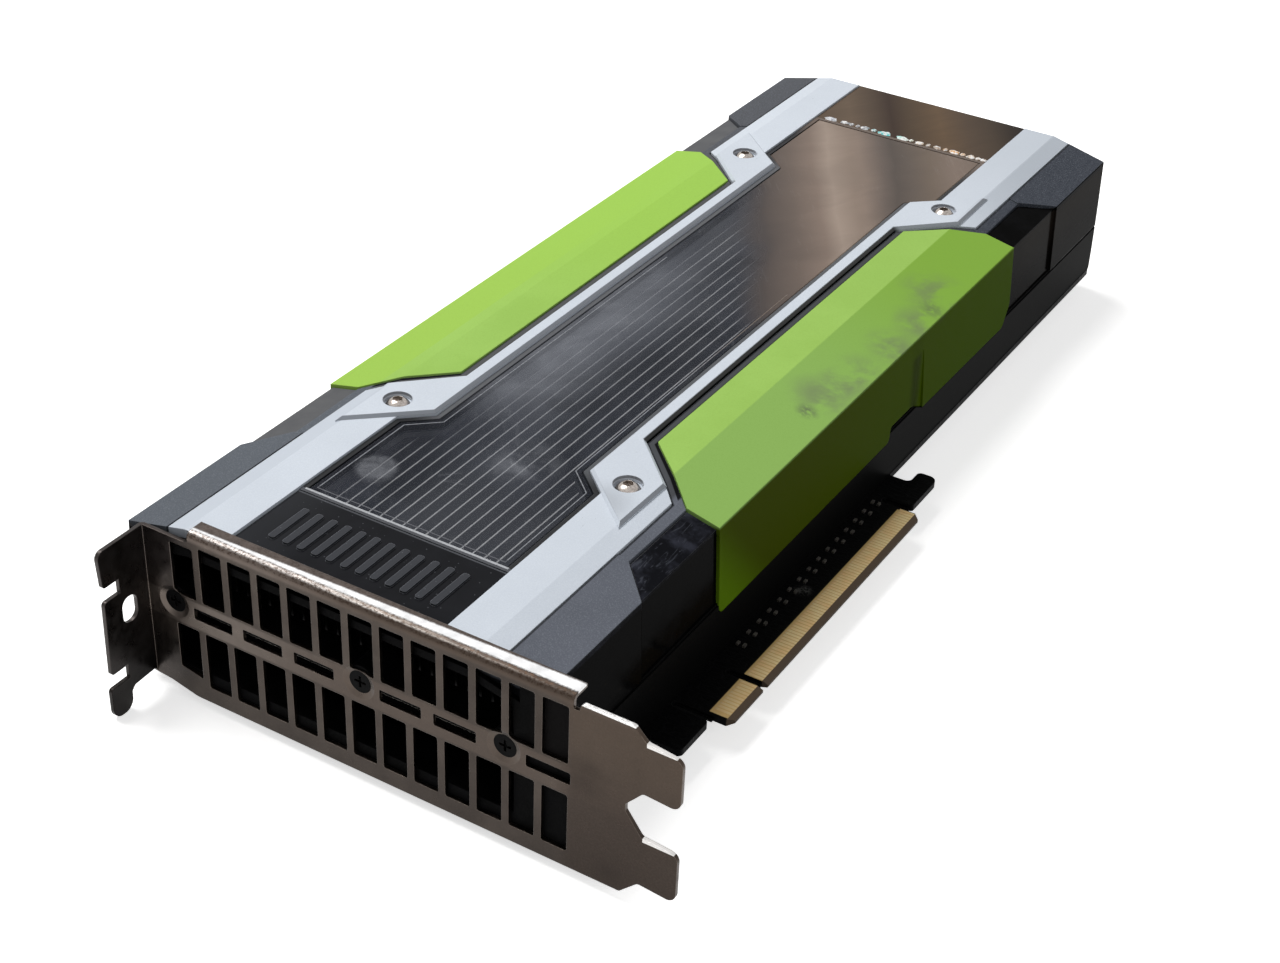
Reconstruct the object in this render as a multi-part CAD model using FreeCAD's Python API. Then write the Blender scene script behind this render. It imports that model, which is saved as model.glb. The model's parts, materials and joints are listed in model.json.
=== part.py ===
import FreeCAD, Part
import math
import os

os.makedirs("parts", exist_ok=True)
V = FreeCAD.Vector

# All sizes in mm. X runs from the bracket's screw tab to its feet, Y from the bracket to the tail, Z up.
# Standard sizes of a two-slot, full-height card
bracket_length = 120.02
bracket_height = 38.74
sheet = 0.86
board_length = 266.8
board_thick = 1.6
tail_overhang = 3.0
card_length = board_length + tail_overhang

# Cross-section of the body, given as half widths from its middle plane
mid_x = 43.4
top_z = 38.8
ridge_half = 47.6
slope_width = 14.5
flat_half = ridge_half - slope_width
ridge_z = 35.3
side_draft = 1.4
foot_half = ridge_half + side_draft
board_half = foot_half
tail_round = 1.6
tail_corner = 4.0

# Heights of the layers
board_z = 3.5
board_top = board_z + board_thick
seam_z = 17.2
seat_drop = 2.0
seat_thick = 1.6
seat_z = top_z - seat_drop
lip = 0.35
gap = 0.15

# Lengthwise places shared by the rails, the covers and the shell
mid_y = card_length / 2 + 0.3
rail_width = 12.55
rail_out = flat_half + 4.2
rail_in = rail_out - rail_width
narrow_width = 3.7
narrow_in = rail_in - 6.0
narrow_out = narrow_in + narrow_width
ear_outer_half = rail_out - 3.1
ear_tip_half = ear_outer_half - 0.2
ear_tip_y = 48.0
ear_inner_y = 61.8
ear_outer_y = 65.4
rail_end_y = 62.3
narrow_y = 77.2
raise_z = 39.5
screw_half = ear_outer_half - 6.2
screw_y = 61.1
window_y0 = 24.9
tail_plate_length = 26.6
window_y1 = card_length - tail_plate_length

# Side covers
cover_y0 = 63.4
cover_y1 = 2 * mid_y - cover_y0 + 1.3
cover_in = narrow_out + 1.95
cover_in_y0 = 78.6
cover_in_y1 = 2 * mid_y - cover_in_y0 + 2.2
cover_knee = rail_out + 2.9
cover_wall = 1.6
cover_low = 14.6
cover_step_y = mid_y + 6.8
cover_step_z = 18.2

# Corner facets of the shell and the gloss panels between them
facet_ridge_y = 34.3
facet_knee_y = 42.0
facet_knee = cover_knee - 0.3
panel_inset = 0.7
body_wall = 3.4

# Edge connector
edge_x = mid_x + board_half
tongue_reach = 13.0
tongue_x = edge_x + tongue_reach
tongue_y0 = 46.4
tongue_y1 = 132.0
key_y = 59.9
key_width = 1.9
contact_pitch = 1.0
contacts_before_key = 11
contacts_after_key = 71
contact_width = 0.7
contact_thick = 0.05
contact_reach = 4.9
board_y0 = 1.6
tab_x = edge_x + 9.0
hook_x = edge_x + 9.9
hook_y1 = 147.9

# Bracket grille
grille_x = 7.5
grille_pitch = 7.03
grille_count = 13
grille_width = 5.5
upper_z0 = 24.1
upper_z1 = 36.9
lower_z0 = 3.7
lower_z1 = 16.9
bracket_screw_x = [mid_x - ridge_half + 11.4, mid_x + 8.2, mid_x + ridge_half - 7.2]
bracket_screw_z = 21.6
slot_x = [12.1, 24.2, 36.4, 56.3, 68.4, 88.5]
slot_width = 9.4
lip_z = 2.4
flange_x0 = 12.0
flange_x1 = 98.2
flange_depth = 4.4
bend_r = 1.5
tab_reach = 12.7
leg_drop = 2.2
foot_round = 1.8
dimple_r = 3.6
head_r = 2.45
head_sink = 0.45

# Heat sink and processor
chip_y = 112.0
package_half = 27.5
package_top = board_top + 1.9
die_top = package_top + 0.8
interface_thick = 0.15
post_half = 31.0
deck_z0 = 9.9
deck_z1 = 12.1
spreader_thick = 3.0
fin_thick = 0.5
fin_pitch = 2.735
fin_count = 26
deck_y0 = 9.2
deck_y1 = card_length - 21.8
fin_y0 = deck_y0 + 0.4
fin_y1 = deck_y1 - 2.0
fin_low_top = 33.7
fin_high_top = 34.5

# Underside
plate_z0 = 2.0
plate_z1 = 3.1
fix_half = board_half - 6.8
fix_y = [22.0, 72.0, 165.0, card_length - 31.8]

# The shared origin: middle of the whole part's footprint, at its lowest point
low_x = mid_x - board_half
origin = V((low_x + bracket_length) / 2, (card_length - tab_reach) / 2, -leg_drop)


def block(x0, x1, y0, y1, z0, z1):
    return Part.makeBox(x1 - x0, y1 - y0, z1 - z0, V(x0, y0, z0))


def wire(points, place):
    """Closed outline; a point with a third value gets a rounded corner of that radius."""
    ends = []
    count = len(points)
    for i in range(count):
        here = V(points[i][0], points[i][1], 0)
        radius = points[i][2] if len(points[i]) > 2 else 0
        if radius <= 0:
            ends.append((here, here, None))
            continue
        before = V(points[i - 1][0], points[i - 1][1], 0).sub(here)
        after = V(points[(i + 1) % count][0], points[(i + 1) % count][1], 0).sub(here)
        before.normalize()
        after.normalize()
        half = math.acos(max(-1.0, min(1.0, before.dot(after)))) / 2
        reach = radius / math.tan(half)
        first = here.add(V(before).multiply(reach))
        last = here.add(V(after).multiply(reach))
        inward = before.add(after)
        inward.normalize()
        middle = here.add(inward.multiply(radius / math.sin(half) - radius))
        ends.append((first, last, middle))
    edges = []
    for i in range(count):
        first, last, middle = ends[i]
        following = ends[(i + 1) % count][0]
        if middle is not None:
            edges.append(Part.Arc(place(first), place(middle), place(last)).toShape())
        if last.distanceToPoint(following) > 1e-6:
            edges.append(Part.makeLine(place(last), place(following)))
    return Part.Wire(edges)


def plan(points, z0, z1):
    """Outline in X and Y, raised from z0 to z1."""
    face = Part.Face(wire(points, lambda p: V(p.x, p.y, z0)))
    return face.extrude(V(0, 0, z1 - z0))


def section(points, y0, y1):
    """Outline in X and Z, run from y0 to y1."""
    face = Part.Face(wire(points, lambda p: V(p.x, y0, p.y)))
    return face.extrude(V(0, y1 - y0, 0))


def side(points, x0, x1):
    """Outline in Y and Z, run from x0 to x1."""
    face = Part.Face(wire(points, lambda p: V(x0, p.x, p.y)))
    return face.extrude(V(x1 - x0, 0, 0))


def rod(x, y, z, r, length, axis="z"):
    direction = {"x": V(1, 0, 0), "y": V(0, 1, 0), "z": V(0, 0, 1)}[axis]
    return Part.makeCylinder(r, length, V(x, y, z), direction)


def cone(x, y, z, r0, r1, length, axis="z"):
    direction = {"x": V(1, 0, 0), "y": V(0, 1, 0), "z": V(0, 0, 1)}[axis]
    return Part.makeCone(r0, r1, length, V(x, y, z), direction)


def join(shapes):
    result = shapes[0]
    if len(shapes) > 1:
        result = shapes[0].multiFuse(shapes[1:])
    return result.removeSplitter()


def right(points):
    """Points given as half widths from the middle plane, on the connector side."""
    return [(mid_x + p[0],) + tuple(p[1:]) for p in points]


def left(shape):
    return shape.mirror(V(mid_x, 0, 0), V(1, 0, 0))


def rear(y):
    return 2 * mid_y - y


def roof_z(half, drop=0.0):
    slope = (top_z - ridge_z) / (ridge_half - flat_half)
    return top_z - drop - max(0.0, half - flat_half) * slope


def side_half(z):
    """Half width of the body at height z, on its drafted side walls."""
    return ridge_half + (foot_half - ridge_half) * (ridge_z - z) / (ridge_z - board_top)


def band(drop, thick, reach=ridge_half):
    """Layer under the roof surface, from drop to drop + thick below it."""
    top = [(-reach, roof_z(reach, drop)), (-flat_half, top_z - drop)]
    top += [(flat_half, top_z - drop), (reach, roof_z(reach, drop))]
    low = [(p[0], p[1] - thick) for p in reversed(top)]
    return section([(mid_x + p[0], p[1]) for p in top + low], 0, card_length)


def envelope():
    """Outer volume of the body with its rounded tail edge and tail corners."""
    outline = [(-foot_half, board_top), (-ridge_half, ridge_z), (-flat_half, top_z)]
    outline += [(flat_half, top_z), (ridge_half, ridge_z), (foot_half, board_top)]
    solid = section([(mid_x + p[0], p[1]) for p in outline], 0, card_length)
    edges = []
    for edge in solid.Edges:
        box = edge.BoundBox
        if box.YMin > card_length - 0.01 and box.ZMin > ridge_z - 0.01:
            edges.append(edge)
    solid = solid.makeFillet(tail_round, edges)
    around = [(mid_x - foot_half, -1), (mid_x + foot_half, -1)]
    around += [(mid_x + foot_half, card_length, tail_corner), (mid_x - foot_half, card_length, tail_corner)]
    return solid.common(plan(around, 0, 50))


body = envelope()


def save(name, shape, clean=True):
    if clean and len(shape.Solids) == 1:
        shape = shape.Solids[0]
    moved = shape.copy()
    moved.translate(origin.negative())
    moved.exportStep("parts/" + name + ".step")


# Bracket: one bent sheet with the grille, the feet, the top flange and the screw tab
def make_bracket():
    outline = [(0, 1.9), (4.5, 1.5, 2), (11.0, 0.0, 6)]
    outline += [(108.6, 0.0, 0.8), (112.3, 3.7, 1.0), (bracket_length, 3.0, foot_round)]
    outline += [(bracket_length, 14.1, foot_round), (112.6, 14.7, 1.0)]
    outline += [(109.2, 19.3, 0.6), (109.2, 20.9, 0.6), (112.6, 24.8, 1.0), (bracket_length, 24.3, foot_round)]
    outline += [(bracket_length, 35.2, foot_round), (112.9, 36.1, 1.0)]
    outline += [(110.3, bracket_height, 0.8), (99.8, bracket_height, 0.8), (99.4, 37.0), (98.2, 37.0)]
    outline += [(98.2, 37.6), (flange_x0, 37.6), (11.2, 37.2), (0, 37.2)]
    plate = section(outline, 0, sheet)
    height = bend_r - sheet
    flange = block(flange_x0, flange_x1, bend_r, flange_depth, top_z, top_z + sheet)
    ring = rod(flange_x0, bend_r, top_z + sheet - bend_r, bend_r, flange_x1 - flange_x0, "x")
    ring = ring.cut(rod(flange_x0 - 1, bend_r, top_z + sheet - bend_r, height, flange_x1 - flange_x0 + 2, "x"))
    quarter = block(flange_x0, flange_x1, 0, bend_r, top_z + sheet - bend_r, top_z + sheet)
    strip = block(flange_x0, flange_x1, 0, sheet, 37.0, top_z + sheet - bend_r)
    tab = [(sheet, 37.2), (sheet, 1.9), (0, 1.9), (-0.6, 3.0, 0.6), (-6.4, 2.7, 0.8), (-7.3, 1.7, 0.6)]
    tab += [(-7.4, -leg_drop, 2.4), (-tab_reach, -leg_drop, 2.4), (-tab_reach, 5.3, 0.7), (-7.6, 5.3)]
    tab += [(-7.6, 8.5), (-12.2, 8.5, 0.8), (-11.8, 25.6, 0.8), (-7.5, 25.6), (-7.5, 28.9)]
    tab += [(-11.7, 28.9, 0.8), (-12.2, 37.2, 1.6)]
    tab = side(tab, 0, sheet)
    hole = side([(-7.4, 17.6, 1.9), (-3.4, 17.6, 1.9), (-3.4, 23.6, 1.9), (-7.4, 23.6, 1.9)], -1, 2)
    shape = join([plate, ring.common(quarter), flange, strip, tab.cut(hole)])
    fold = block(-0.1, 1.0, sheet - 1.0, sheet + 0.1, -3, 40).cut(rod(1.0, sheet - 1.0, -4, 1.0, 50))
    cuts = [fold]
    for i in range(grille_count):
        x0 = grille_x + i * grille_pitch
        x1 = x0 + grille_width
        top = upper_z1 - (0.9 if i == 0 else 0.0)
        low_left = lower_z0 + (2.6 if i == 0 else 0.0)
        low_right = lower_z0 + (1.4 if i == 0 else 0.0)
        cuts.append(section([(x0, upper_z0, 0.5), (x1, upper_z0, 0.5), (x1, top, 0.5), (x0, top, 0.5)], -1, 2))
        lower = [(x0, low_left, 0.5), (x1, low_right, 0.5), (x1, lower_z1, 0.5), (x0, lower_z1, 0.5)]
        cuts.append(section(lower, -1, 2))
    for x0 in slot_x:
        x1 = x0 + slot_width
        cuts.append(section([(x0, 19.5, 0.4), (x1, 19.5, 0.4), (x1, 22.2, 0.4), (x0, 22.2, 0.4)], -1, 2))
    for x in bracket_screw_x:
        cuts.append(cone(x, 0, bracket_screw_z, dimple_r, head_r + 0.1, head_sink, "y"))
        cuts.append(cone(x, head_sink - 0.01, bracket_screw_z, head_r + 0.06, 2.13, sheet - head_sink + 0.02, "y"))
    return shape.cut(cuts)


def make_bracket_screws():
    screws = []
    for x in bracket_screw_x:
        head = cone(x, head_sink, bracket_screw_z, head_r, 1.45, 1.1, "y")
        shank = rod(x, head_sink + 1.0, bracket_screw_z, 1.45, 6.0, "y")
        screw = head.fuse(shank)
        low = bracket_screw_z - 1.3
        screw = screw.cut(block(x - 1.3, x + 1.3, 0, head_sink + 0.5, low + 1.0, low + 1.6))
        screw = screw.cut(block(x - 0.3, x + 0.3, 0, head_sink + 0.5, low, low + 2.6))
        screws.append(screw.removeSplitter())
    return Part.makeCompound(screws)


# Front frame: the ring behind the grille that the bracket is screwed to, with a wing behind the last openings
def make_front_frame():
    reach = ridge_half - 3.6
    outer = [(-reach, board_top), (0.4 - reach, 32.4), (-flat_half, 35.0), (flat_half, 35.0)]
    outer += [(reach - 0.4, 32.4), (reach, board_top)]
    frame = section([(mid_x + p[0], p[1]) for p in outer], sheet, 8.6)
    hollow = reach - 2.0
    inner = [(-hollow, 24.0), (0.4 - hollow, 31.2), (0.5 - flat_half, 33.2), (flat_half - 0.5, 33.2)]
    inner += [(hollow - 0.4, 31.2), (hollow, 24.0)]
    frame = frame.cut(section([(mid_x + p[0], p[1]) for p in inner], 0, 10))
    frame = frame.cut(block(mid_x - hollow, mid_x + hollow, 0, 10, 6.4, 17.2))
    web = block(mid_x - hollow - 1, mid_x + hollow + 1, 0, 10, 17.2, 24.0)
    web = web.cut(block(mid_x - hollow - 1, mid_x + hollow + 1, 0, 10, 20.9, 22.3))
    frame = frame.cut(web)
    wing_x0 = mid_x + reach - 0.8
    wing = [(wing_x0, lip_z, 1), (flange_x1, lip_z, 1), (flange_x1, 37.6, 1), (wing_x0, 37.6, 1)]
    apron = block(grille_x - 1.5, flange_x1 - 2, sheet, board_y0, lip_z, board_top + 0.4)
    parts = [frame, section(wing, sheet, board_y0), apron]
    for x in bracket_screw_x:
        parts.append(rod(x, sheet, bracket_screw_z, 3.4, 8.6 - sheet, "y"))
    frame = join(parts)
    for x in bracket_screw_x:
        frame = frame.cut(cone(x, sheet - 0.01, bracket_screw_z, 2.2, 1.5, 0.7, "y"))
        frame = frame.cut(rod(x, 0, bracket_screw_z, 1.5, 8.0, "y"))
    return frame


# Printed circuit board with the edge connector tongue, its key slot and the retention hook
def make_board():
    outline = [(low_x, board_y0, 1), (edge_x, board_y0, 1), (edge_x, 33.4, 0.8), (tab_x, 33.4, 1.2)]
    outline += [(tab_x, tongue_y0 - 2.2, 0.8), (edge_x + 0.2, tongue_y0 - 2.2, 1.05)]
    outline += [(edge_x + 0.2, tongue_y0, 1.05)]
    outline += [(tongue_x - 1.4, tongue_y0), (tongue_x, tongue_y0 + 1.3)]
    outline += [(tongue_x, key_y - key_width / 2), (edge_x + 4.1, key_y - key_width / 2, 0.9)]
    outline += [(edge_x + 4.1, key_y + key_width / 2, 0.9), (tongue_x, key_y + key_width / 2)]
    outline += [(tongue_x, tongue_y1 - 1.3), (tongue_x - 1.4, tongue_y1), (edge_x + 2.9, tongue_y1, 1.1)]
    outline += [(edge_x + 2.9, tongue_y1 + 2.4, 1.1), (hook_x, tongue_y1 + 2.4, 0.8), (hook_x, hook_y1, 2.0)]
    outline += [(edge_x + 5.1, hook_y1, 1.2), (edge_x + 5.1, 143.0, 1.4), (edge_x, 143.0, 0.5)]
    outline += [(edge_x, board_length, 1), (low_x, board_length, 1)]
    board = plan(outline, board_z, board_top)
    for z, toward in ((board_top, -1), (board_z, 1)):
        wedge = [(tongue_x - 1.25, z), (tongue_x + 0.1, z), (tongue_x + 0.1, z + toward * 0.5)]
        board = board.cut(section(wedge, tongue_y0 - 0.1, tongue_y1 + 0.1))
    holes = []
    for sx in (-1, 1):
        for y in fix_y:
            holes.append(rod(mid_x + sx * fix_half, y, 0, 1.35, 10))
        for sy in (-1, 1):
            holes.append(rod(mid_x + sx * post_half, chip_y + sy * post_half, 0, 1.7, 10))
    return board.cut(holes)


def contact_places():
    places = []
    for i in range(contacts_before_key):
        places.append(key_y - 1.5 - i * contact_pitch)
    for i in range(contacts_after_key):
        places.append(key_y + 1.5 + i * contact_pitch)
    return places


def make_contacts(z):
    bars = []
    for y in contact_places():
        y0 = y - contact_width / 2
        bars.append(block(tongue_x - contact_reach, tongue_x - 1.3, y0, y0 + contact_width, z, z + contact_thick))
    return Part.makeCompound(bars)


# Shell: the grey top with four corner facets, the ribbon beside the rails and the seats below them
def window_outline():
    points = [(rail_in - gap, window_y0), (rail_in - gap, 56.3), (narrow_in - gap, ear_inner_y)]
    points += [(narrow_in - gap, rear(ear_inner_y)), (rail_in - gap, rear(56.3)), (rail_in - gap, window_y1)]
    mirrored = [(-p[0], p[1]) for p in reversed(points)]
    return [(mid_x + p[0], p[1]) for p in points + mirrored]


def window_layer(inset, z0, z1):
    outline = wire(window_outline(), lambda p: V(p.x, p.y, z0))
    face = Part.Face(outline)
    if inset > 0:
        face = Part.Face(outline.makeOffset2D(-inset, 2, False, False, True))
    return face.extrude(V(0, 0, z1 - z0))


def make_shell():
    seat_reach = ridge_half - 2.2
    area = block(mid_x - seat_reach, mid_x + seat_reach, 1.6, card_length - 1.2, 20, 45)
    seat = band(seat_drop, seat_thick, seat_reach).common(area)
    seat = seat.cut(window_layer(2.6, 30, 40))
    ribbon = [(rail_out + 0.25, 1.6), (ridge_half, 1.6), (ridge_half, facet_ridge_y), (facet_knee, facet_knee_y)]
    ribbon += [(cover_knee - gap, cover_y0 - 0.2), (cover_in - 0.25, cover_in_y0)]
    ribbon += [(cover_in - 0.25, cover_in_y1), (cover_knee - gap, cover_y1 - 0.4)]
    ribbon += [(facet_knee, rear(facet_knee_y)), (ridge_half, rear(facet_ridge_y)), (ridge_half, card_length)]
    ribbon += [(rail_out + 0.25, card_length), (rail_out + 0.25, rear(rail_end_y + 0.15))]
    ribbon += [(ear_outer_half + 0.2, rear(ear_outer_y + 0.15)), (narrow_out + 0.25, rear(narrow_y + 0.1))]
    ribbon += [(narrow_out + 0.25, narrow_y + 0.1), (ear_outer_half + 0.2, ear_outer_y + 0.15)]
    ribbon += [(rail_out + 0.25, rail_end_y + 0.15)]
    ribbon = plan(right(ribbon), 30, 42)
    low = ribbon.common(band(lip, seat_drop - lip))
    facets = []
    for y0, y1 in ((0, facet_knee_y + 0.01), (rear(facet_knee_y) - 0.01, card_length)):
        zone = block(mid_x, mid_x + 60, y0, y1, 20, 45)
        facets.append(ribbon.common(zone).common(band(0, seat_drop)))
    fold_in = ridge_half - 2.05
    mitre = [(ridge_half + 0.05, ridge_z + 0.05), (fold_in, ridge_z - 1.85), (fold_in, 20), (60, 20)]
    mitre += [(60, ridge_z + 0.05)]
    top = join([low] + facets).cut(section(right(mitre), 0, card_length))
    parts = [seat, top, left(top)]
    for sx in (-1, 1):
        for y in (screw_y, rear(screw_y)):
            parts.append(rod(mid_x + sx * screw_half, y, fin_low_top + 0.3, 3.0, 2.0))
    shell = join(parts).common(body)
    holes = []
    for sx in (-1, 1):
        for y in (screw_y, rear(screw_y)):
            holes.append(rod(mid_x + sx * screw_half, y, 30, 1.5, 12))
    return shell.cut(holes)


# Gloss side panel: drafted wall between the seam and the ridge, with the slope panels on top
def wall_section(inset, top_z_at):
    outer_top = side_half(top_z_at) - inset
    outer_low = side_half(seam_z) - inset
    inner_low = side_half(seam_z) - body_wall
    inner_top = ridge_half - 1.95
    return right([(outer_top, top_z_at), (outer_low, seam_z + 0.1), (inner_low, seam_z + 0.1),
                  (inner_low - 0.5, 32.0), (inner_top, 32.0), (inner_top, ridge_z - 2.1)])


def cover_outline(spare):
    """Side view of a cover's wall, grown by a small clearance where the pocket for it is cut."""
    return [(cover_y0 - spare, 42), (cover_y0 + 0.4 - spare, cover_low - spare, 1.6),
            (cover_step_y - 0.6, cover_low - spare, 1.5), (cover_step_y, cover_step_z - spare, 0.8),
            (cover_step_y + 10.6, cover_step_z - spare, 1.5),
            (cover_step_y + 17.0, cover_low + 0.4 - spare, 2.0),
            (cover_y1 - 2.9, cover_low - spare, 2.0), (cover_y1 + 0.9 + spare, 19.6 - spare, 2.0),
            (cover_y1 + spare, 42)]


def cover_pocket():
    zone = [(side_half(42) - cover_wall, 42), (side_half(5) - cover_wall, 5), (60, 5), (60, 42)]
    return section(right(zone), 0, card_length).common(side(cover_outline(0.1), mid_x, mid_x + 80))


def make_side_panel():
    parts = []
    for y0, y1 in ((1.6, facet_ridge_y), (rear(facet_ridge_y), card_length)):
        parts.append(section(wall_section(0, ridge_z - 0.12), y0, y1))
    recess = section(wall_section(panel_inset, ridge_z - 0.6), facet_ridge_y, rear(facet_ridge_y))
    head = block(mid_x, mid_x + 60, cover_y0 - 0.1, cover_y1 + 0.1, ridge_z - 1.95, 40)
    parts.append(recess.cut(cover_pocket()).cut(head))
    for front in (True, False):
        area = [(cover_knee + 0.1, facet_knee_y + 0.15), (ridge_half, facet_ridge_y + 0.3)]
        area += [(ridge_half, cover_y0 - 0.15), (cover_knee + 0.1, cover_y0 - 0.15)]
        if not front:
            area = [(p[0], rear(p[1])) for p in area]
            area = [(p[0], max(p[1], cover_y1 + 0.45)) for p in area]
        layer = band(0.75, seat_drop - 0.75, ridge_half - panel_inset)
        parts.append(plan(right(area), 30, 42).common(layer))
    return join(parts).common(body)


def make_cover():
    outline = [(ridge_half, cover_y0), (cover_knee, cover_y0 - 0.05), (cover_in, cover_in_y0)]
    outline += [(cover_in, cover_in_y1), (cover_knee, cover_y1 - 0.5), (ridge_half, cover_y1)]
    top = plan(right(outline), 30, 42).common(band(0, seat_drop))
    wall = [(ridge_half, ridge_z), (side_half(cover_low), cover_low)]
    wall += [(side_half(cover_low) - cover_wall, cover_low), (side_half(34.2) - cover_wall, 34.2)]
    wall = section(right(wall), 0, card_length)
    wall = wall.common(side(cover_outline(0), mid_x, mid_x + 60))
    cover = join([top, wall])
    start = cover_step_y + 11.2
    fold = [(start, cover_step_z - 1), (start + 2.0, cover_step_z + 12.5), (start + 4.4, cover_step_z + 12.5)]
    fold += [(start + 6.4, 10), (start, 10)]
    cut = section(right([(side_half(31) - 0.05, 31), (side_half(10) - 0.7, 10), (60, 10), (60, 31)]), 0, card_length)
    return cover.cut(side(fold, mid_x, mid_x + 60).common(cut))


# Rail: low satin strip at both ends, raised plate with an ear at each screw between them
def rail_outline():
    points = [(rail_in, 1.6), (rail_out, 1.6), (rail_out, rail_end_y), (ear_outer_half, ear_outer_y)]
    points += [(narrow_out, narrow_y), (narrow_out, rear(narrow_y)), (ear_outer_half, rear(ear_outer_y))]
    points += [(rail_out, rear(rail_end_y)), (rail_out, card_length), (rail_in, card_length)]
    points += [(rail_in, rear(56.4)), (narrow_in, rear(ear_inner_y)), (narrow_in, ear_inner_y), (rail_in, 56.4)]
    return points


def make_rail():
    low = plan(right(rail_outline()), 30, 42).common(band(0, seat_drop)).common(body)
    raised = [(ear_tip_half, ear_tip_y), (ear_outer_half, ear_outer_y), (narrow_out, narrow_y)]
    raised += [(narrow_out, rear(narrow_y)), (ear_outer_half, rear(ear_outer_y)), (ear_tip_half, rear(ear_tip_y))]
    raised += [(narrow_in, rear(ear_inner_y)), (narrow_in, ear_inner_y)]
    plate = plan(right(raised), seat_z + 0.3, raise_z)
    edges = [e for e in plate.Edges if e.BoundBox.ZMin > raise_z - 0.01]
    plate = plate.makeChamfer(0.65, edges)
    rail = join([low, plate])
    for y in (screw_y, rear(screw_y)):
        rail = rail.cut(rod(mid_x + screw_half, y, raise_z - 1.3, 3.1, 5))
        rail = rail.cut(rod(mid_x + screw_half, y, 30, 1.6, 12))
    return rail


def make_cover_screws():
    screws = []
    for sx in (-1, 1):
        for y in (screw_y, rear(screw_y)):
            x = mid_x + sx * screw_half
            z = raise_z - 1.3
            ball_r = 3.0
            head = rod(x, y, z, 2.7, 1.65)
            ball = Part.makeSphere(ball_r, V(x, y, z + 1.65 - ball_r))
            head = head.common(ball)
            hexagon = []
            for i in range(6):
                angle = math.radians(60 * i)
                hexagon.append((x + 1.15 * math.cos(angle), y + 1.15 * math.sin(angle)))
            head = head.cut(plan(hexagon, z + 0.5, z + 3))
            shank = rod(x, y, fin_low_top + 0.5, 1.45, z - fin_low_top - 0.5)
            screws.append(head.fuse(shank).removeSplitter())
    return Part.makeCompound(screws)


def make_window_frame():
    return window_layer(0, seat_z, top_z - 0.45).cut(window_layer(1.1, seat_z - 1, top_z + 1))


def make_window():
    glass = window_layer(1.15, seat_z, top_z - 0.5)
    edges = [e for e in glass.Edges if e.BoundBox.ZMin > top_z - 0.51]
    return glass.makeChamfer(0.35, edges)


def make_name_plate():
    plate = block(mid_x - rail_in + gap, mid_x + rail_in - gap, 4.7, window_y0 - 0.15, seat_z, top_z - 0.6)
    parts = [plate]
    for i in range(12):
        x = mid_x - 18.7 + i * 3.4
        rib = [(x - 0.75, 9.0, 0.5), (x + 0.75, 9.0, 0.5), (x + 0.75, 20.0, 0.5), (x - 0.75, 20.0, 0.5)]
        parts.append(plan(rib, top_z - 0.7, top_z - 0.15))
    return join(parts)


def make_tail_plate():
    x0 = mid_x - rail_in + gap
    x1 = mid_x + rail_in - gap
    plate = block(x0, x1, window_y1 + 0.15, card_length, seat_z, top_z - 0.5)
    return plate.common(body)


dot_places = [(-21.0, 1.5), (-15.8, 0.75), (-10.8, 0.9), (-4.9, 1.35), (0.1, 1.35)]
dot_places += [(5.2, 0.95), (10.3, 0.8), (15.1, 1.15), (19.8, 0.8), (23.3, 0.65)]


def make_tail_dots():
    dots = []
    for place, half in dot_places:
        x = mid_x + place
        y = window_y1 + 1.05
        spot = [(x - half, y - 0.55, 0.54), (x + half, y - 0.55, 0.54), (x + half, y + 0.55, 0.54)]
        spot += [(x - half, y + 0.55, 0.54)]
        dots.append(plan(spot, top_z - 0.5, top_z - 0.38))
    return Part.makeCompound(dots)


# Lower frame: the cast deck that holds the sink, with its side walls and posts
def make_lower_frame():
    wall = [(side_half(seam_z), seam_z), (foot_half - 0.1, board_top), (foot_half - 3.3, board_top)]
    wall += [(foot_half - 3.3, seam_z)]
    wall = section(right(wall), 1.6, card_length).common(body)
    wall = wall.cut(cover_pocket())
    strip = [(side_half(seam_z) + 1, seam_z - 0.5), (side_half(seam_z) - 0.35, seam_z - 0.5)]
    strip += [(side_half(seam_z) - 0.35, seam_z + 1), (side_half(seam_z) + 1, seam_z + 1)]
    wall = wall.cut(section(right(strip), 0, card_length + 1))
    parts = [wall, left(wall)]
    deck = block(mid_x - foot_half + 3.0, mid_x + foot_half - 3.0, deck_y0, deck_y1, deck_z0, deck_z1)
    well = post_half + 4.0
    deck = deck.cut(block(mid_x - well, mid_x + well, chip_y - well, chip_y + well, 0, 20))
    parts.append(deck)
    for sx in (-1, 1):
        for y in fix_y:
            parts.append(rod(mid_x + sx * fix_half, y, board_top, 3.0, deck_z0 - board_top + 0.5))
    for x0, x1 in tail_block_x:
        parts.append(block(x0, x1, deck_y1 - 2.0, tail_block_y, deck_z0, deck_z1))
    frame = join(parts)
    for sx in (-1, 1):
        for y in fix_y:
            frame = frame.cut(rod(mid_x + sx * fix_half, y, board_top - 1, 1.22, 5.0))
    return frame


# Tail blocks: they carry the threaded holes for a chassis card extender
tail_block_x = [(mid_x - 18.0, mid_x - 12.0), (mid_x + foot_half - 13.0, mid_x + foot_half - 3.3)]
tail_block_y = card_length - 11.0
tail_hole_x = [mid_x - 15.0, mid_x + foot_half - 8.0]
tail_hole_z = 11.2


def make_tail_blocks():
    blocks = []
    for (x0, x1), x in zip(tail_block_x, tail_hole_x):
        piece = block(x0, x1, tail_block_y, card_length, board_top, seam_z - 0.6).common(body)
        piece = piece.cut(rod(x, card_length - 7.5, tail_hole_z, 1.25, 9, "y"))
        piece = piece.cut(cone(x, card_length - 0.4, tail_hole_z, 1.25, 1.7, 0.41, "y"))
        blocks.append(piece)
    return Part.makeCompound(blocks)


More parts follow.
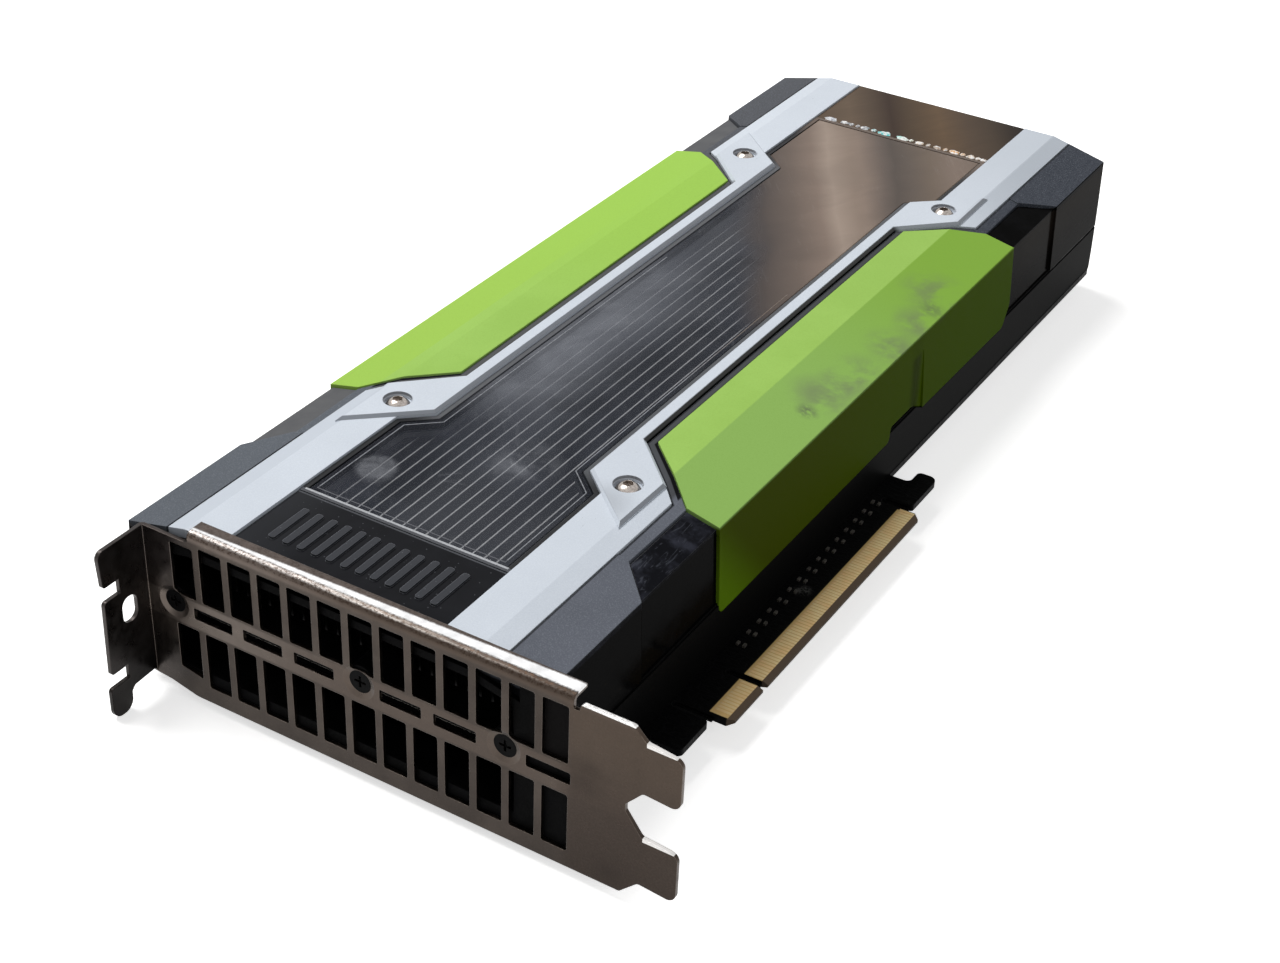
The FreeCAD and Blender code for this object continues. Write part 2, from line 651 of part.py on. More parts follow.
def make_spreader():
    reach = foot_half - 9.5
    shape = block(mid_x - reach, mid_x + reach, deck_y0, deck_y1 - 1.0, deck_z1, deck_z1 + spreader_thick)
    top = deck_z1
    low = die_top + interface_thick
    pad = block(mid_x - 26, mid_x + 26, chip_y - 26, chip_y + 26, low, top)
    parts = [shape, pad]
    for sx in (-1, 1):
        for sy in (-1, 1):
            parts.append(rod(mid_x + sx * post_half, chip_y + sy * post_half, board_top, 3.2, top - board_top))
    shape = join(parts)
    for sx in (-1, 1):
        for sy in (-1, 1):
            shape = shape.cut(rod(mid_x + sx * post_half, chip_y + sy * post_half, 0, 1.5, board_top + 6))
    return shape


def make_fins():
    fins = []
    for i in range(fin_count):
        half = (i - (fin_count - 1) / 2) * fin_pitch
        top = fin_high_top if abs(half) < rail_in - 1.55 else fin_low_top
        x = mid_x + half
        y1 = fin_y1
        fins.append(block(x - fin_thick / 2, x + fin_thick / 2, fin_y0, y1, deck_z1 + spreader_thick, top))
    return Part.makeCompound(fins)


def make_package():
    r = package_half
    plate = block(mid_x - r, mid_x + r, chip_y - r, chip_y + r, board_top, board_top + 1.3)
    ring = block(mid_x - r, mid_x + r, chip_y - r, chip_y + r, board_top + 1.3, package_top)
    ring = ring.cut(block(mid_x - r + 5, mid_x + r - 5, chip_y - r + 5, chip_y + r - 5, 0, 20))
    return join([plate, ring])


def make_die():
    low = board_top + 1.3
    return block(mid_x - 12.5, mid_x + 12.5, chip_y - 13.0, chip_y + 13.0, low, die_top)


def make_stacks():
    low = board_top + 1.3
    stacks = []
    for sx in (-1, 1):
        for sy in (-1, 1):
            x = mid_x + sx * 17.2
            y = chip_y + sy * 6.6
            stacks.append(block(x - 4.1, x + 4.1, y - 6.0, y + 6.0, low, die_top))
    return Part.makeCompound(stacks)


def make_interface():
    return block(mid_x - 22, mid_x + 22, chip_y - 14, chip_y + 14, die_top, die_top + interface_thick)


def choke_places():
    return [(sx, 158.0 + i * 10.4) for sx in (-1, 1) for i in range(7)]


def make_chokes():
    chokes = []
    for sx, y in choke_places():
        x = mid_x + sx * 30.0
        body_box = block(x - 4.6, x + 4.6, y - 4.6, y + 4.6, board_top + 0.3, board_top + 4.0)
        foot = block(x - 4.9, x + 4.9, y - 1.6, y + 1.6, board_top, board_top + 0.3)
        chokes.append(body_box.fuse(foot))
    return Part.makeCompound(chokes)


def make_pads():
    pads = []
    for sx in (-1, 1):
        x = mid_x + sx * 30.0
        pads.append(block(x - 4.6, x + 4.6, 153.0, 226.0, board_top + 4.0, deck_z0))
    return Part.makeCompound(pads)


def make_stages():
    stages = []
    for sx, y in choke_places():
        x = mid_x + sx * 21.0
        stages.append(block(x - 2.6, x + 2.6, y - 2.9, y + 2.9, board_top, board_top + 0.9))
    return Part.makeCompound(stages)


def make_capacitors():
    cans = []
    for i in range(7):
        for x in (mid_x - 8.5, mid_x + 8.5):
            cans.append(rod(x, 158.0 + i * 10.4, board_top, 3.15, 4.4))
    return Part.makeCompound(cans)


def make_chips():
    chips = []
    for x, y, a, b, h in ((16, 30, 9, 9, 1.1), (44, 34, 12, 12, 1.3), (70, 28, 7, 5, 1.0), (22, 52, 5, 6, 0.9)):
        chips.append(block(x - a / 2, x + a / 2, y - b / 2, y + b / 2, board_top, board_top + h))
    return Part.makeCompound(chips)


def make_small_parts():
    small = []
    for i in range(15):
        y = 68.0 + i * 4.42
        for x in (edge_x + 1.6, edge_x + 3.1):
            small.append(block(x, x + 0.6, y, y + 1.1, board_top, board_top + 0.5))
    return Part.makeCompound(small)


power_x = 13.9
pin_pitch = 4.2
housing_y = card_length - 15.0
socket_y = housing_y + 4.0


def pin_boxes(y0, y1):
    pins = []
    for row in (0, 1):
        for column in range(4):
            x = power_x + (column - 1.5) * pin_pitch
            z = board_top + 3.6 + row * pin_pitch
            pins.append(block(x - 0.5, x + 0.5, y0, y1, z - 0.5, z + 0.5))
    return pins


def make_power_connector():
    housing = block(power_x - 9.6, power_x + 9.6, housing_y, card_length - 0.2, board_top, board_top + 11.4)
    cavity = block(power_x - 8.5, power_x + 8.5, socket_y, card_length + 1, board_top + 1.3, board_top + 10.1)
    latch = block(power_x - 2.2, power_x + 2.2, socket_y + 1.4, card_length - 0.2, board_top + 11.4, board_top + 12.6)
    return join([housing.cut(cavity), latch]).cut(pin_boxes(housing_y - 2.6, socket_y + 3.4))


def make_pins():
    return Part.makeCompound(pin_boxes(housing_y - 1.0, socket_y + 5.4))


def make_backplate():
    half = board_half - 1.6
    end = board_length - 0.8
    outline = [(mid_x - half, 4.0, 2), (mid_x + half, 4.0, 2), (mid_x + half, end - 4, 2)]
    outline += [(mid_x + half - 4, end, 2), (mid_x - half + 4, end, 2), (mid_x - half, end - 4, 2)]
    plate = plan(outline, plate_z0, plate_z1)
    hole = post_half + 5.2
    plate = plate.cut(block(mid_x - hole, mid_x + hole, chip_y - hole, chip_y + hole, 0, 10))
    parts = [plate]
    for sx in (-1, 1):
        for y in fix_y:
            parts.append(rod(mid_x + sx * fix_half, y, plate_z0, 3.4, board_z - plate_z0))
    for y in (40.0, 172.0, end - 16.0):
        parts.append(block(mid_x - 30, mid_x + 30, y, y + 1.2, plate_z1 - 0.1, board_z))
    plate = join(parts)
    for sx in (-1, 1):
        for y in fix_y:
            plate = plate.cut(rod(mid_x + sx * fix_half, y, 0, 1.35, 10))
            plate = plate.cut(cone(mid_x + sx * fix_half, y, plate_z0 - 0.01, 2.35, 1.35, 1.0))
    slots = []
    for i in range(14):
        x = mid_x - 32.5 + i * 5.0
        slots.append(plan([(x - 0.9, 186, 0.85), (x + 0.9, 186, 0.85), (x + 0.9, 206, 0.85), (x - 0.9, 206, 0.85)], 0, 10))
    return plate.cut(slots)


def make_backplate_screws():
    screws = []
    for sx in (-1, 1):
        for y in fix_y:
            x = mid_x + sx * fix_half
            head = cone(x, y, plate_z0, 2.3, 1.15, 1.15)
            shank = rod(x, y, plate_z0 + 1.0, 1.15, 5.6)
            slot = block(x - 1.2, x + 1.2, y - 0.25, y + 0.25, plate_z0 - 0.1, plate_z0 + 0.6)
            cross = block(x - 0.25, x + 0.25, y - 1.2, y + 1.2, plate_z0 - 0.1, plate_z0 + 0.6)
            screws.append(head.fuse(shank).cut(slot).cut(cross).removeSplitter())
    return Part.makeCompound(screws)


def make_brace():
    reach = post_half + 4.2
    z0 = board_z - 1.2
    outline = [(mid_x - reach, chip_y - reach, 4), (mid_x + reach, chip_y - reach, 4)]
    outline += [(mid_x + reach, chip_y + reach, 4), (mid_x - reach, chip_y + reach, 4)]
    plate = plan(outline, z0, board_z)
    cuts = []
    for turn in range(4):
        tri = [(mid_x - 18, chip_y + 27, 2), (mid_x, chip_y + 9, 2), (mid_x + 18, chip_y + 27, 2)]
        piece = plan(tri, 0, 10)
        piece.rotate(V(mid_x, chip_y, 0), V(0, 0, 1), 90 * turn)
        cuts.append(piece)
    for sx in (-1, 1):
        for sy in (-1, 1):
            cuts.append(rod(mid_x + sx * post_half, chip_y + sy * post_half, 0, 1.7, 10))
    return plate.cut(cuts)


def make_brace_screws():
    screws = []
    z0 = board_z - 1.2
    for sx in (-1, 1):
        for sy in (-1, 1):
            x = mid_x + sx * post_half
            y = chip_y + sy * post_half
            head = rod(x, y, z0 - 1.0, 2.7, 1.0)
            shank = rod(x, y, z0, 1.45, board_top + 5 - z0)
            slot = block(x - 1.6, x + 1.6, y - 0.3, y + 0.3, z0 - 1.1, z0 - 0.5)
            cross = block(x - 0.3, x + 0.3, y - 1.6, y + 1.6, z0 - 1.1, z0 - 0.5)
            screws.append(head.fuse(shank).cut(slot).cut(cross).removeSplitter())
    return Part.makeCompound(screws)


save("io_bracket", make_bracket())
save("bracket_screws", make_bracket_screws())
save("front_frame", make_front_frame())
save("circuit_board", make_board())
save("edge_contacts_top", make_contacts(board_top))
save("edge_contacts_bottom", make_contacts(board_z - contact_thick))
save("shroud_shell", make_shell())
panel = make_side_panel()
save("side_panel_right", panel)
save("side_panel_left", left(panel))
cover = make_cover()
save("side_cover_right", cover)
save("side_cover_left", left(cover))
rail = make_rail()
save("rail_right", rail)
save("rail_left", left(rail))
save("cover_screws", make_cover_screws())
save("window_frame", make_window_frame())
save("window_panel", make_window())
save("name_plate", make_name_plate())
save("tail_plate", make_tail_plate())
save("tail_dots", make_tail_dots())
save("lower_frame", make_lower_frame())
save("tail_blocks", make_tail_blocks())
save("heat_spreader", make_spreader())
save("fin_stack", make_fins())
save("processor_package", make_package())
save("processor_die", make_die())
save("memory_stacks", make_stacks())
save("thermal_interface", make_interface())
save("power_chokes", make_chokes())
save("thermal_pads", make_pads())
save("power_stages", make_stages())
save("bulk_capacitors", make_capacitors())
save("control_chips", make_chips())
save("edge_small_parts", make_small_parts())
save("power_connector", make_power_connector())
save("power_pins", make_pins())
save("backplate", make_backplate())
save("backplate_screws", make_backplate_screws())
save("sink_brace", make_brace())
save("brace_screws", make_brace_screws())
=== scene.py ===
import json
import math
import random
from functools import cached_property

import bmesh
import bpy
from mathutils import Matrix, Vector


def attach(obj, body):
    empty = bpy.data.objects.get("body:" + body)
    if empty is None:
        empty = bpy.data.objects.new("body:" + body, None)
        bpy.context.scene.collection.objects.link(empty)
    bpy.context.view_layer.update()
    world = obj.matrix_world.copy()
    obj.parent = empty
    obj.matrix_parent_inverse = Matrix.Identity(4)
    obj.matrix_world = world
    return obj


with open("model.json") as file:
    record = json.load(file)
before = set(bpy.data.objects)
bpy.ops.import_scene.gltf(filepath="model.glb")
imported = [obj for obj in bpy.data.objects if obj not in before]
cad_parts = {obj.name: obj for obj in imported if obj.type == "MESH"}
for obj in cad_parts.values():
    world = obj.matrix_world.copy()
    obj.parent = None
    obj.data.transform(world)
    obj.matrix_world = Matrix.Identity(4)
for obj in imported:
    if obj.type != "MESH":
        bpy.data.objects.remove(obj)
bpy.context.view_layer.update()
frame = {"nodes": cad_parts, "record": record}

# Places on the drawing, in mm: X runs from the screw tab to the feet, Y from bracket to tail, Z up
FRAME_ZERO = Vector((57.21, 128.55, -2.2))  # the zero of the shared frame
MID_X = 43.4  # middle plane of the body
MID_Y = 135.2  # middle of the pattern that rails and covers make
RAIL_HALF = 22.45  # middle plane to the outer side of a rail, between its ears
EAR_HALF = 37.3  # middle plane to the outer side of an ear
COVER_HALF = 24.4  # middle plane to the inner side of a cover
EAR_CORNER = 99.6  # half width and distance from the end add up to this on an ear's slanted side
COVER_CORNER = 102.4  # the same for a cover
DIAGONAL = 0.7071
BRACKET_SCREW_X = (7.2, 51.6, 83.8)
BRACKET_SCREW_Z = 21.6
SLOPE_X = 76.2  # where the top turns into the right slope
BEND_TOP = 38.42  # the bracket's flange starts above this
GLASS_TOP = 38.3
GLASS_HALF = 24.6  # half width of the window at its front
GLASS_HALF_NARROW = 18.6  # and further back
RIM_END_Y = 26.8  # the rim of the window, bright with a painted highlight, lies before this, the thin line inside it after
TAIL_JOINT_Y = 244.3  # joint of the window and the tail plate
FIN_PITCH = 2.735
FIN_CREST = 34.42  # a painted highlight lies on the fins above this


def at(x, y, z):
    """A place on the drawing, in mm, as a place in the shared frame, in metres."""
    return (Vector((x, y, z)) - FRAME_ZERO) / 1000


def rgb(red, green, blue):
    """A colour as seen, 0 to 255, as the shader wants it."""
    values = []
    for c in (red, green, blue):
        c = c / 255
        values.append(c / 12.92 if c <= 0.04045 else ((c + 0.055) / 1.055) ** 2.4)
    return (*values, 1.0)


class Term:
    """A value in a node tree: sums, products and comparisons of it add the nodes they need."""

    def __init__(self, owner, socket):
        self.owner = owner
        self.socket = socket

    def math(self, operation, *others):
        return self.owner.add("ShaderNodeMath", {"operation": operation}, [self, *others])

    def reflected(self, operation, other):
        return self.owner.add("ShaderNodeMath", {"operation": operation}, [other, self])

    def __add__(self, other):
        return self.math("ADD", other)

    def __radd__(self, other):
        return self.reflected("ADD", other)

    def __sub__(self, other):
        return self.math("SUBTRACT", other)

    def __rsub__(self, other):
        return self.reflected("SUBTRACT", other)

    def __mul__(self, other):
        return self.math("MULTIPLY", other)

    def __rmul__(self, other):
        return self.reflected("MULTIPLY", other)

    def __truediv__(self, other):
        return self.math("DIVIDE", other)

    def __rtruediv__(self, other):
        return self.reflected("DIVIDE", other)

    def __gt__(self, other):
        return self.math("GREATER_THAN", other)

    def __lt__(self, other):
        return self.math("LESS_THAN", other)

    def __abs__(self):
        return self.math("ABSOLUTE")

    def least(self, other):
        return self.math("MINIMUM", other)

    def most(self, other):
        return self.math("MAXIMUM", other)

    def fit(self, low, high, first=0.0, last=1.0):
        """Runs smoothly from first to last while the value goes from low to high."""
        sockets = {"Value": self, "From Min": low, "From Max": high, "To Min": first, "To Max": last}
        return self.owner.add("ShaderNodeMapRange", {"interpolation_type": "SMOOTHSTEP"}, sockets)

    def fall(self, low, high):
        """1 up to low, then smoothly down to 0 at high."""
        return self.fit(low, high, 1.0, 0.0)

    def band(self, start, full, fade, end):
        """1 from full to fade, and 0 before start and after end."""
        return self.fit(start, full) * self.fall(fade, end)


class Tree:
    """A node tree, with the one way in which it gets its nodes."""

    def __init__(self, tree):
        self.tree = tree

    def add(self, kind, settings=None, sockets=None, out=None):
        """Adds a node, and gives its first output or the one named by out."""
        node = self.tree.nodes.new(kind)
        for key, value in (settings or {}).items():
            if key == "stops":
                ramp = node.color_ramp
                while len(ramp.elements) < len(value):
                    ramp.elements.new(0.5)
                for element, (place, colour) in zip(ramp.elements, value):
                    element.position = place
                    element.color = colour
            else:
                setattr(node, key, value)
        usable = [s for s in node.inputs if s.enabled]
        if isinstance(sockets, dict):
            pairs = [(next(s for s in usable if s.name == key), value) for key, value in sockets.items()]
        else:
            pairs = zip(usable, sockets or [])
        for socket, value in pairs:
            if isinstance(value, Term):
                self.tree.links.new(value.socket, socket)
            else:
                socket.default_value = value
        return Term(self, next(s for s in node.outputs if s.enabled and out in (None, s.name)))

    def seen(self):
        """1 where the picture shows a thing, also mirrored or through glass; 0 where it gives light."""
        camera = self.add("ShaderNodeLightPath", out="Is Camera Ray")
        rays = camera.socket.node.outputs
        return camera.most(Term(self, rays["Is Glossy Ray"])).most(Term(self, rays["Is Transmission Ray"]))


class Finish(Tree):
    """One material: a principled shader, its base colour in layers, and the nodes that vary it."""

    def __init__(self, name, **constants):
        self.material = bpy.data.materials.new(name)
        self.material.use_nodes = True
        super().__init__(self.material.node_tree)
        self.base = None
        for key, value in constants.items():
            self.shader_input(key).default_value = value

    def shader_input(self, key):
        return self.tree.nodes["Principled BSDF"].inputs[key.replace("_", " ")]

    def lay(self, mask, colour):
        """Lays a colour over the base colour, as far as the mask goes."""
        self.base = self.mix(mask, self.base, colour)

    def done(self, **varying):
        """Links the base colour and whatever else varies, and gives the material."""
        for key, term in {"Base_Color": self.base, **varying}.items():
            self.tree.links.new(term.socket, self.shader_input(key))
        return self.material

    def vector(self, operation, sockets, out=None):
        return self.add("ShaderNodeVectorMath", {"operation": operation}, sockets, out)

    @cached_property
    def places(self):
        """The drawing's own millimetres at each point of the surface."""
        here = self.add("ShaderNodeTexCoord", out="Object")
        scaled = self.vector("SCALE", {"Vector": here, "Scale": 1000.0})
        return self.vector("ADD", [scaled, tuple(FRAME_ZERO)])

    @cached_property
    def xyz(self):
        first = self.add("ShaderNodeSeparateXYZ", sockets=[self.places])
        return [Term(self, part) for part in first.socket.node.outputs]

    def slant(self):
        """Distance in mm along a line of the top that lies at 30 degrees to X."""
        x, y, _ = self.xyz
        return x * 0.866 + y * 0.5

    def turned(self, degrees, along):
        """Places turned about the upright axis, then stretched along Y."""
        sockets = {"Vector": self.places, "Angle": math.radians(degrees)}
        spun = self.add("ShaderNodeVectorRotate", {"rotation_type": "Z_AXIS"}, sockets)
        return self.vector("MULTIPLY", [spun, (1.0, along, 1.0)])

    def stretched(self, along, up=1.0):
        """Places stretched along Y and Z."""
        return self.vector("MULTIPLY", [self.places, (1.0, along, up)])

    def ramp(self, value, stops):
        """Runs through several colours while the value passes their places."""
        low, high = stops[0][0], stops[-1][0]
        steps = [((place - low) / (high - low), rgb(*colour)) for place, colour in stops]
        return self.add("ShaderNodeValToRGB", {"stops": steps}, {"Fac": (value - low) / (high - low)})

    def spot(self, x, y, z, inner, outer):
        """Mask that is 1 within the inner radius of a place and 0 beyond the outer one, in mm."""
        return self.vector("DISTANCE", [self.places, (x, y, z)], "Value").fall(inner, outer)

    def scratch(self, first, last, width):
        """Mask along a fine scratch between two places of the top, as seen from above."""
        x, y, _ = self.xyz
        dx, dy = last[0] - first[0], last[1] - first[1]
        length = math.hypot(dx, dy)
        dx, dy = dx / length, dy / length
        along = (x - first[0]) * dx + (y - first[1]) * dy
        off = abs((x - first[0]) * dy - (y - first[1]) * dx)
        return off.fall(width * 0.4, width) * (along > 0.0) * (along < length)

    def noise(self, scale, detail=2.0, rough=0.5, warp=0.0, where=None):
        sockets = {"Vector": where or self.places, "Scale": scale, "Detail": detail, "Roughness": rough}
        sockets["Distortion"] = warp
        return self.add("ShaderNodeTexNoise", sockets=sockets)

    def cells(self, scale, feature="F1", where=None):
        sockets = {"Vector": where or self.places, "Scale": scale}
        return self.add("ShaderNodeTexVoronoi", {"feature": feature}, sockets, "Distance")

    def mix(self, factor, first, second):
        return self.add("ShaderNodeMix", {"data_type": "RGBA"}, {"Factor": factor, "A": first, "B": second})

    def soft_edges(self, radius):
        """Normal that rounds the corners of the mesh by a radius in mm."""
        return self.add("ShaderNodeBevel", {"samples": 6}, {"Radius": radius / 1000})

    def edge_band(self, radius):
        """Mask along the corners of the mesh, 1 on the corner itself."""
        flat = self.add("ShaderNodeNewGeometry", out="Normal")
        return (1 - self.vector("DOT_PRODUCT", [flat, self.soft_edges(radius)], "Value")).fit(0.02, 0.25)

    def bump(self, height, depth, normal=None):
        """Normal of a surface that rises and falls by a depth in mm."""
        sockets = {"Height": height, "Distance": depth / 1000, "Strength": 1.0}
        if normal:
            sockets["Normal"] = normal
        return self.add("ShaderNodeBump", sockets=sockets)


# Painted reflections and shade on the flange's bend, along X, low on its front and higher up
LOW_BEND_REFLECTION = [(12, (132, 128, 126)), (30, (152, 148, 146)), (55, (204, 198, 193)), (85, (134, 125, 118)),
            (98, (70, 62, 57))]
HIGH_BEND_REFLECTION = [(12, (124, 120, 118)), (30, (114, 110, 108)), (60, (78, 73, 69)), (85, (42, 36, 32)),
             (98, (38, 33, 29))]


def nickel_steel():
    f = Finish("nickel_steel", Metallic=1.0)
    x, y, z = f.xyz
    cloud = f.noise(0.07, 3.0, 0.6)
    grain = f.noise(2.2, 3.0, 0.7)
    fine = f.noise(4.5, 2.0, 0.8)
    f.base = f.mix(cloud.fit(0.3, 0.7), rgb(54, 48, 44), rgb(68, 61, 56))
    # Painted reflections: a band at the screws' height, lighter to the left, and the flank by the feet,
    # darker low down
    middle = f.mix(x.fit(16.0, 52.0), rgb(98, 90, 84), rgb(74, 65, 59))
    f.lay(z.band(17.0, 17.6, 23.4, 24.0) * 0.75, middle)
    flank = f.mix(z.fit(14.0, 34.0), rgb(52, 44, 39), rgb(68, 58, 50))
    f.lay(x.fit(94.0, 99.0) * 0.85, flank)
    # Painted dark reflections at two places by the tab, grain, and darker cloudy patches on the flank
    f.lay(f.spot(3.0, 0.0, 35.0, 4.0, 13.0) * 0.8, rgb(52, 48, 48))
    f.lay(f.spot(4.0, 0.0, 8.0, 4.0, 10.0) * 0.6, rgb(34, 31, 30))
    f.lay(grain.fit(0.35, 0.75, 0.0, 0.14), rgb(94, 84, 76))
    dark_patches = f.spot(101.0, 0.0, 23.0, 1.0, 6.0) + f.spot(106.0, 0.0, 5.0, 1.0, 7.0)
    f.lay(dark_patches * cloud.fit(0.3, 0.6) * 0.5, rgb(38, 32, 29))
    # Painted reflection below the bend, lighter around the screws, and a painted highlight along the
    # corners
    below = z.fit(37.3, 38.2) * y.fall(1.6, 1.7) * (x > 11.0)
    f.lay(below * 0.8, f.mix(x.fit(20.0, 60.0), rgb(100, 90, 84), rgb(74, 64, 57)))
    rings = sum(f.spot(place, 0.0, BRACKET_SCREW_Z, 3.62, 3.7) for place in BRACKET_SCREW_X)
    f.lay(rings * 0.1, rgb(122, 113, 106))
    f.lay(f.edge_band(0.2) * (y > -0.5) * z.fit(37.0, 37.4, 0.35, 0.0), rgb(150, 140, 132))
    # Flange: painted shade and reflections on the bend, a painted highlight on its back, rusty specks along
    # both, and a painted highlight along the end
    back = (y - (x - 30.0) * 0.024 + fine * 0.5).fall(2.45, 3.0)
    bend = f.mix(y.fit(0.5, 0.9), f.ramp(x, LOW_BEND_REFLECTION), f.ramp(x, HIGH_BEND_REFLECTION))
    top = f.mix(back, rgb(80, 72, 68), rgb(222, 222, 223))
    f.lay(z.fit(39.15, 39.5), f.mix((y + fine * 0.5).fit(1.5, 2.05), bend, top))
    speck = f.noise(2.0, 4.0, 0.75).fit(0.49, 0.56)
    rim = z.fit(38.4, 38.9) * (y.fall(1.3, 1.9) + (1.0 - back) * 0.6)
    f.lay(rim * speck * 0.75, rgb(50, 38, 30))
    f.lay((z > BEND_TOP) * x.fit(99.2, 99.4) * speck.fit(0.0, 1.0, 0.95, 0.6), rgb(236, 235, 234))
    # Painted highlights on the cut edges of the feet, and the tab darkened as a painted dark reflection
    lit = (x > 112.9) * ((z > 35.3) + (z > 13.9) * (z < 15.0))
    f.lay(lit * 0.8, rgb(226, 224, 222))
    f.lay((x < 0.9) * (y < -0.2) * 0.9, f.mix(z.fit(2.0, 12.0), rgb(12, 11, 11), rgb(56, 53, 52)))
    rough = f.noise(0.4, 4.0, 0.6).fit(0.3, 0.75, 0.26, 0.44)
    return f.done(Roughness=rough, Normal=f.bump(grain, 0.006, f.soft_edges(0.25)))


def black_screw():
    f = Finish("black_screw", Specular_IOR_Level=0.03)
    grain = f.noise(2.5, 2.0)
    f.base = f.mix(grain, rgb(7, 7, 8), rgb(15, 15, 16))
    # Painted highlight along the edges
    f.lay(f.edge_band(0.15) * 0.35, rgb(84, 80, 76))
    return f.done(Roughness=grain.fit(0.3, 0.7, 0.3, 0.5), Normal=f.bump(grain, 0.01, f.soft_edges(0.12)))


def frame_plastic():
    f = Finish("frame_plastic", Specular_IOR_Level=0.02)
    x, _, z = f.xyz
    grain = f.noise(3.0, 2.0)
    f.base = f.mix(f.noise(0.12, 2.0).fit(0.35, 0.65), rgb(5, 5, 5), rgb(16, 16, 17))
    f.lay(x.fit(88.0, 92.0) * z.fit(20.0, 26.0) * 0.8, rgb(34, 32, 32))
    return f.done(Roughness=grain.fit(0.3, 0.7, 0.45, 0.6), Normal=f.bump(grain, 0.02, f.soft_edges(0.2)))


def board_mask():
    f = Finish("board_mask", Specular_IOR_Level=0.02)
    x, y, z = f.xyz
    weave = f.noise(1.4, 2.0, where=f.stretched(1.0, 0.0))
    tracks = f.cells(0.35, "DISTANCE_TO_EDGE", f.stretched(2.6, 0.0)).fall(0.02, 0.05)
    smudge = f.spot(96.8, 92.2, 5.1, 0.4, 2.6) * f.noise(1.3, 4.0, 0.7).fit(0.42, 0.62)
    f.base = f.mix(weave, rgb(4, 4, 4), rgb(11, 11, 12))
    f.lay(tracks * 0.3, rgb(20, 21, 22))
    f.lay(x.fit(103.95, 104.2) * 0.9, rgb(104, 90, 77))
    f.lay(smudge * 0.5, rgb(120, 120, 118))
    # Painted light: the board between the contacts is coloured near their gold, to brighten the contact row
    # that lies in shade
    between_contacts = x.band(99.9, 100.2, 104.0, 104.2) * y.band(46.8, 47.0, 131.2, 131.4) * (z > 5.0)
    f.lay(between_contacts * 0.9, rgb(240, 204, 140))
    return f.done(Roughness=weave.fit(0.3, 0.7, 0.3, 0.45), Normal=f.bump(tracks, 0.02, f.soft_edges(0.2)))


def contact_gold():
    f = Finish("contact_gold", Metallic=0.05, Specular_IOR_Level=0.3, Roughness=0.34)
    x, y, _ = f.xyz
    f.base = f.mix(f.noise(0.25, 3.0, 0.6).fit(0.3, 0.7), rgb(255, 232, 178), rgb(255, 216, 156))
    f.lay(y.fit(46.0, 76.0, 0.35, 0.0), rgb(206, 170, 116))
    f.lay(x.fit(100.4, 101.2, 0.3, 0.0), rgb(160, 124, 76))
    return f.done(Normal=f.bump(f.noise(3.0), 0.004, f.soft_edges(0.05)))


def grey_shell():
    f = Finish("grey_shell", Specular_IOR_Level=0.004)
    x, y, z = f.xyz
    fleck = f.noise(3.6, 2.0, 0.75)
    half = abs(x - MID_X)
    on_right = x > MID_X
    f.base = f.mix(f.noise(0.035, 3.0, 0.6).fit(0.3, 0.7), rgb(99, 103, 112), rgb(106, 110, 120))
    # Painted shade: the right half darkens towards the tail
    f.lay(y.fit(60.0, 170.0) * 0.9, rgb(60, 64, 72))
    left = f.mix(y.fit(40.0, 240.0), rgb(96, 101, 108), rgb(85, 87, 92))
    f.base = f.mix(on_right, left, f.base)
    f.lay(fleck.fit(0.45, 0.75, 0.0, 0.4), rgb(150, 156, 166))
    # Ribbon between the rails and the covers: dark along both joints, grey between them, darker on the
    # right as painted shade
    from_end = y.least(2 * MID_Y - y)
    off_ear = (half + from_end - EAR_CORNER) * DIAGONAL
    off_rail = (half - RAIL_HALF).least(off_ear).most(half - EAR_HALF)
    off_cover = (half - COVER_HALF).least((half + from_end - COVER_CORNER) * DIAGONAL)
    joint = off_rail.fall(0.35, 0.6).most(off_cover.fit(-0.5, -0.3) * half.fall(EAR_HALF, 37.8))
    ribbon = off_rail.fall(2.6, 2.8) * half.fall(36.0, 37.0)
    f.lay(ribbon * 0.9, f.mix(on_right, rgb(92, 93, 94), rgb(76, 78, 81)))
    f.lay(joint * (z > 36.5) * 0.95, rgb(14, 14, 15))
    # Painted highlight along the edges of the top
    f.lay(f.edge_band(0.3) * z.fit(34.0, 34.6) * 0.35, rgb(150, 156, 166))
    # Painted shade: the right side below the top near black, turning to a painted brown reflection towards
    # the tail
    wall = f.mix(y.fit(150.0, 235.0), rgb(8, 8, 9), rgb(36, 29, 23))
    f.lay(z.fit(34.6, 35.2, 0.95, 0.0) * on_right, wall)
    return f.done(Roughness=fleck.fit(0.3, 0.7, 0.4, 0.55), Normal=f.bump(fleck, 0.012, f.soft_edges(0.25)))


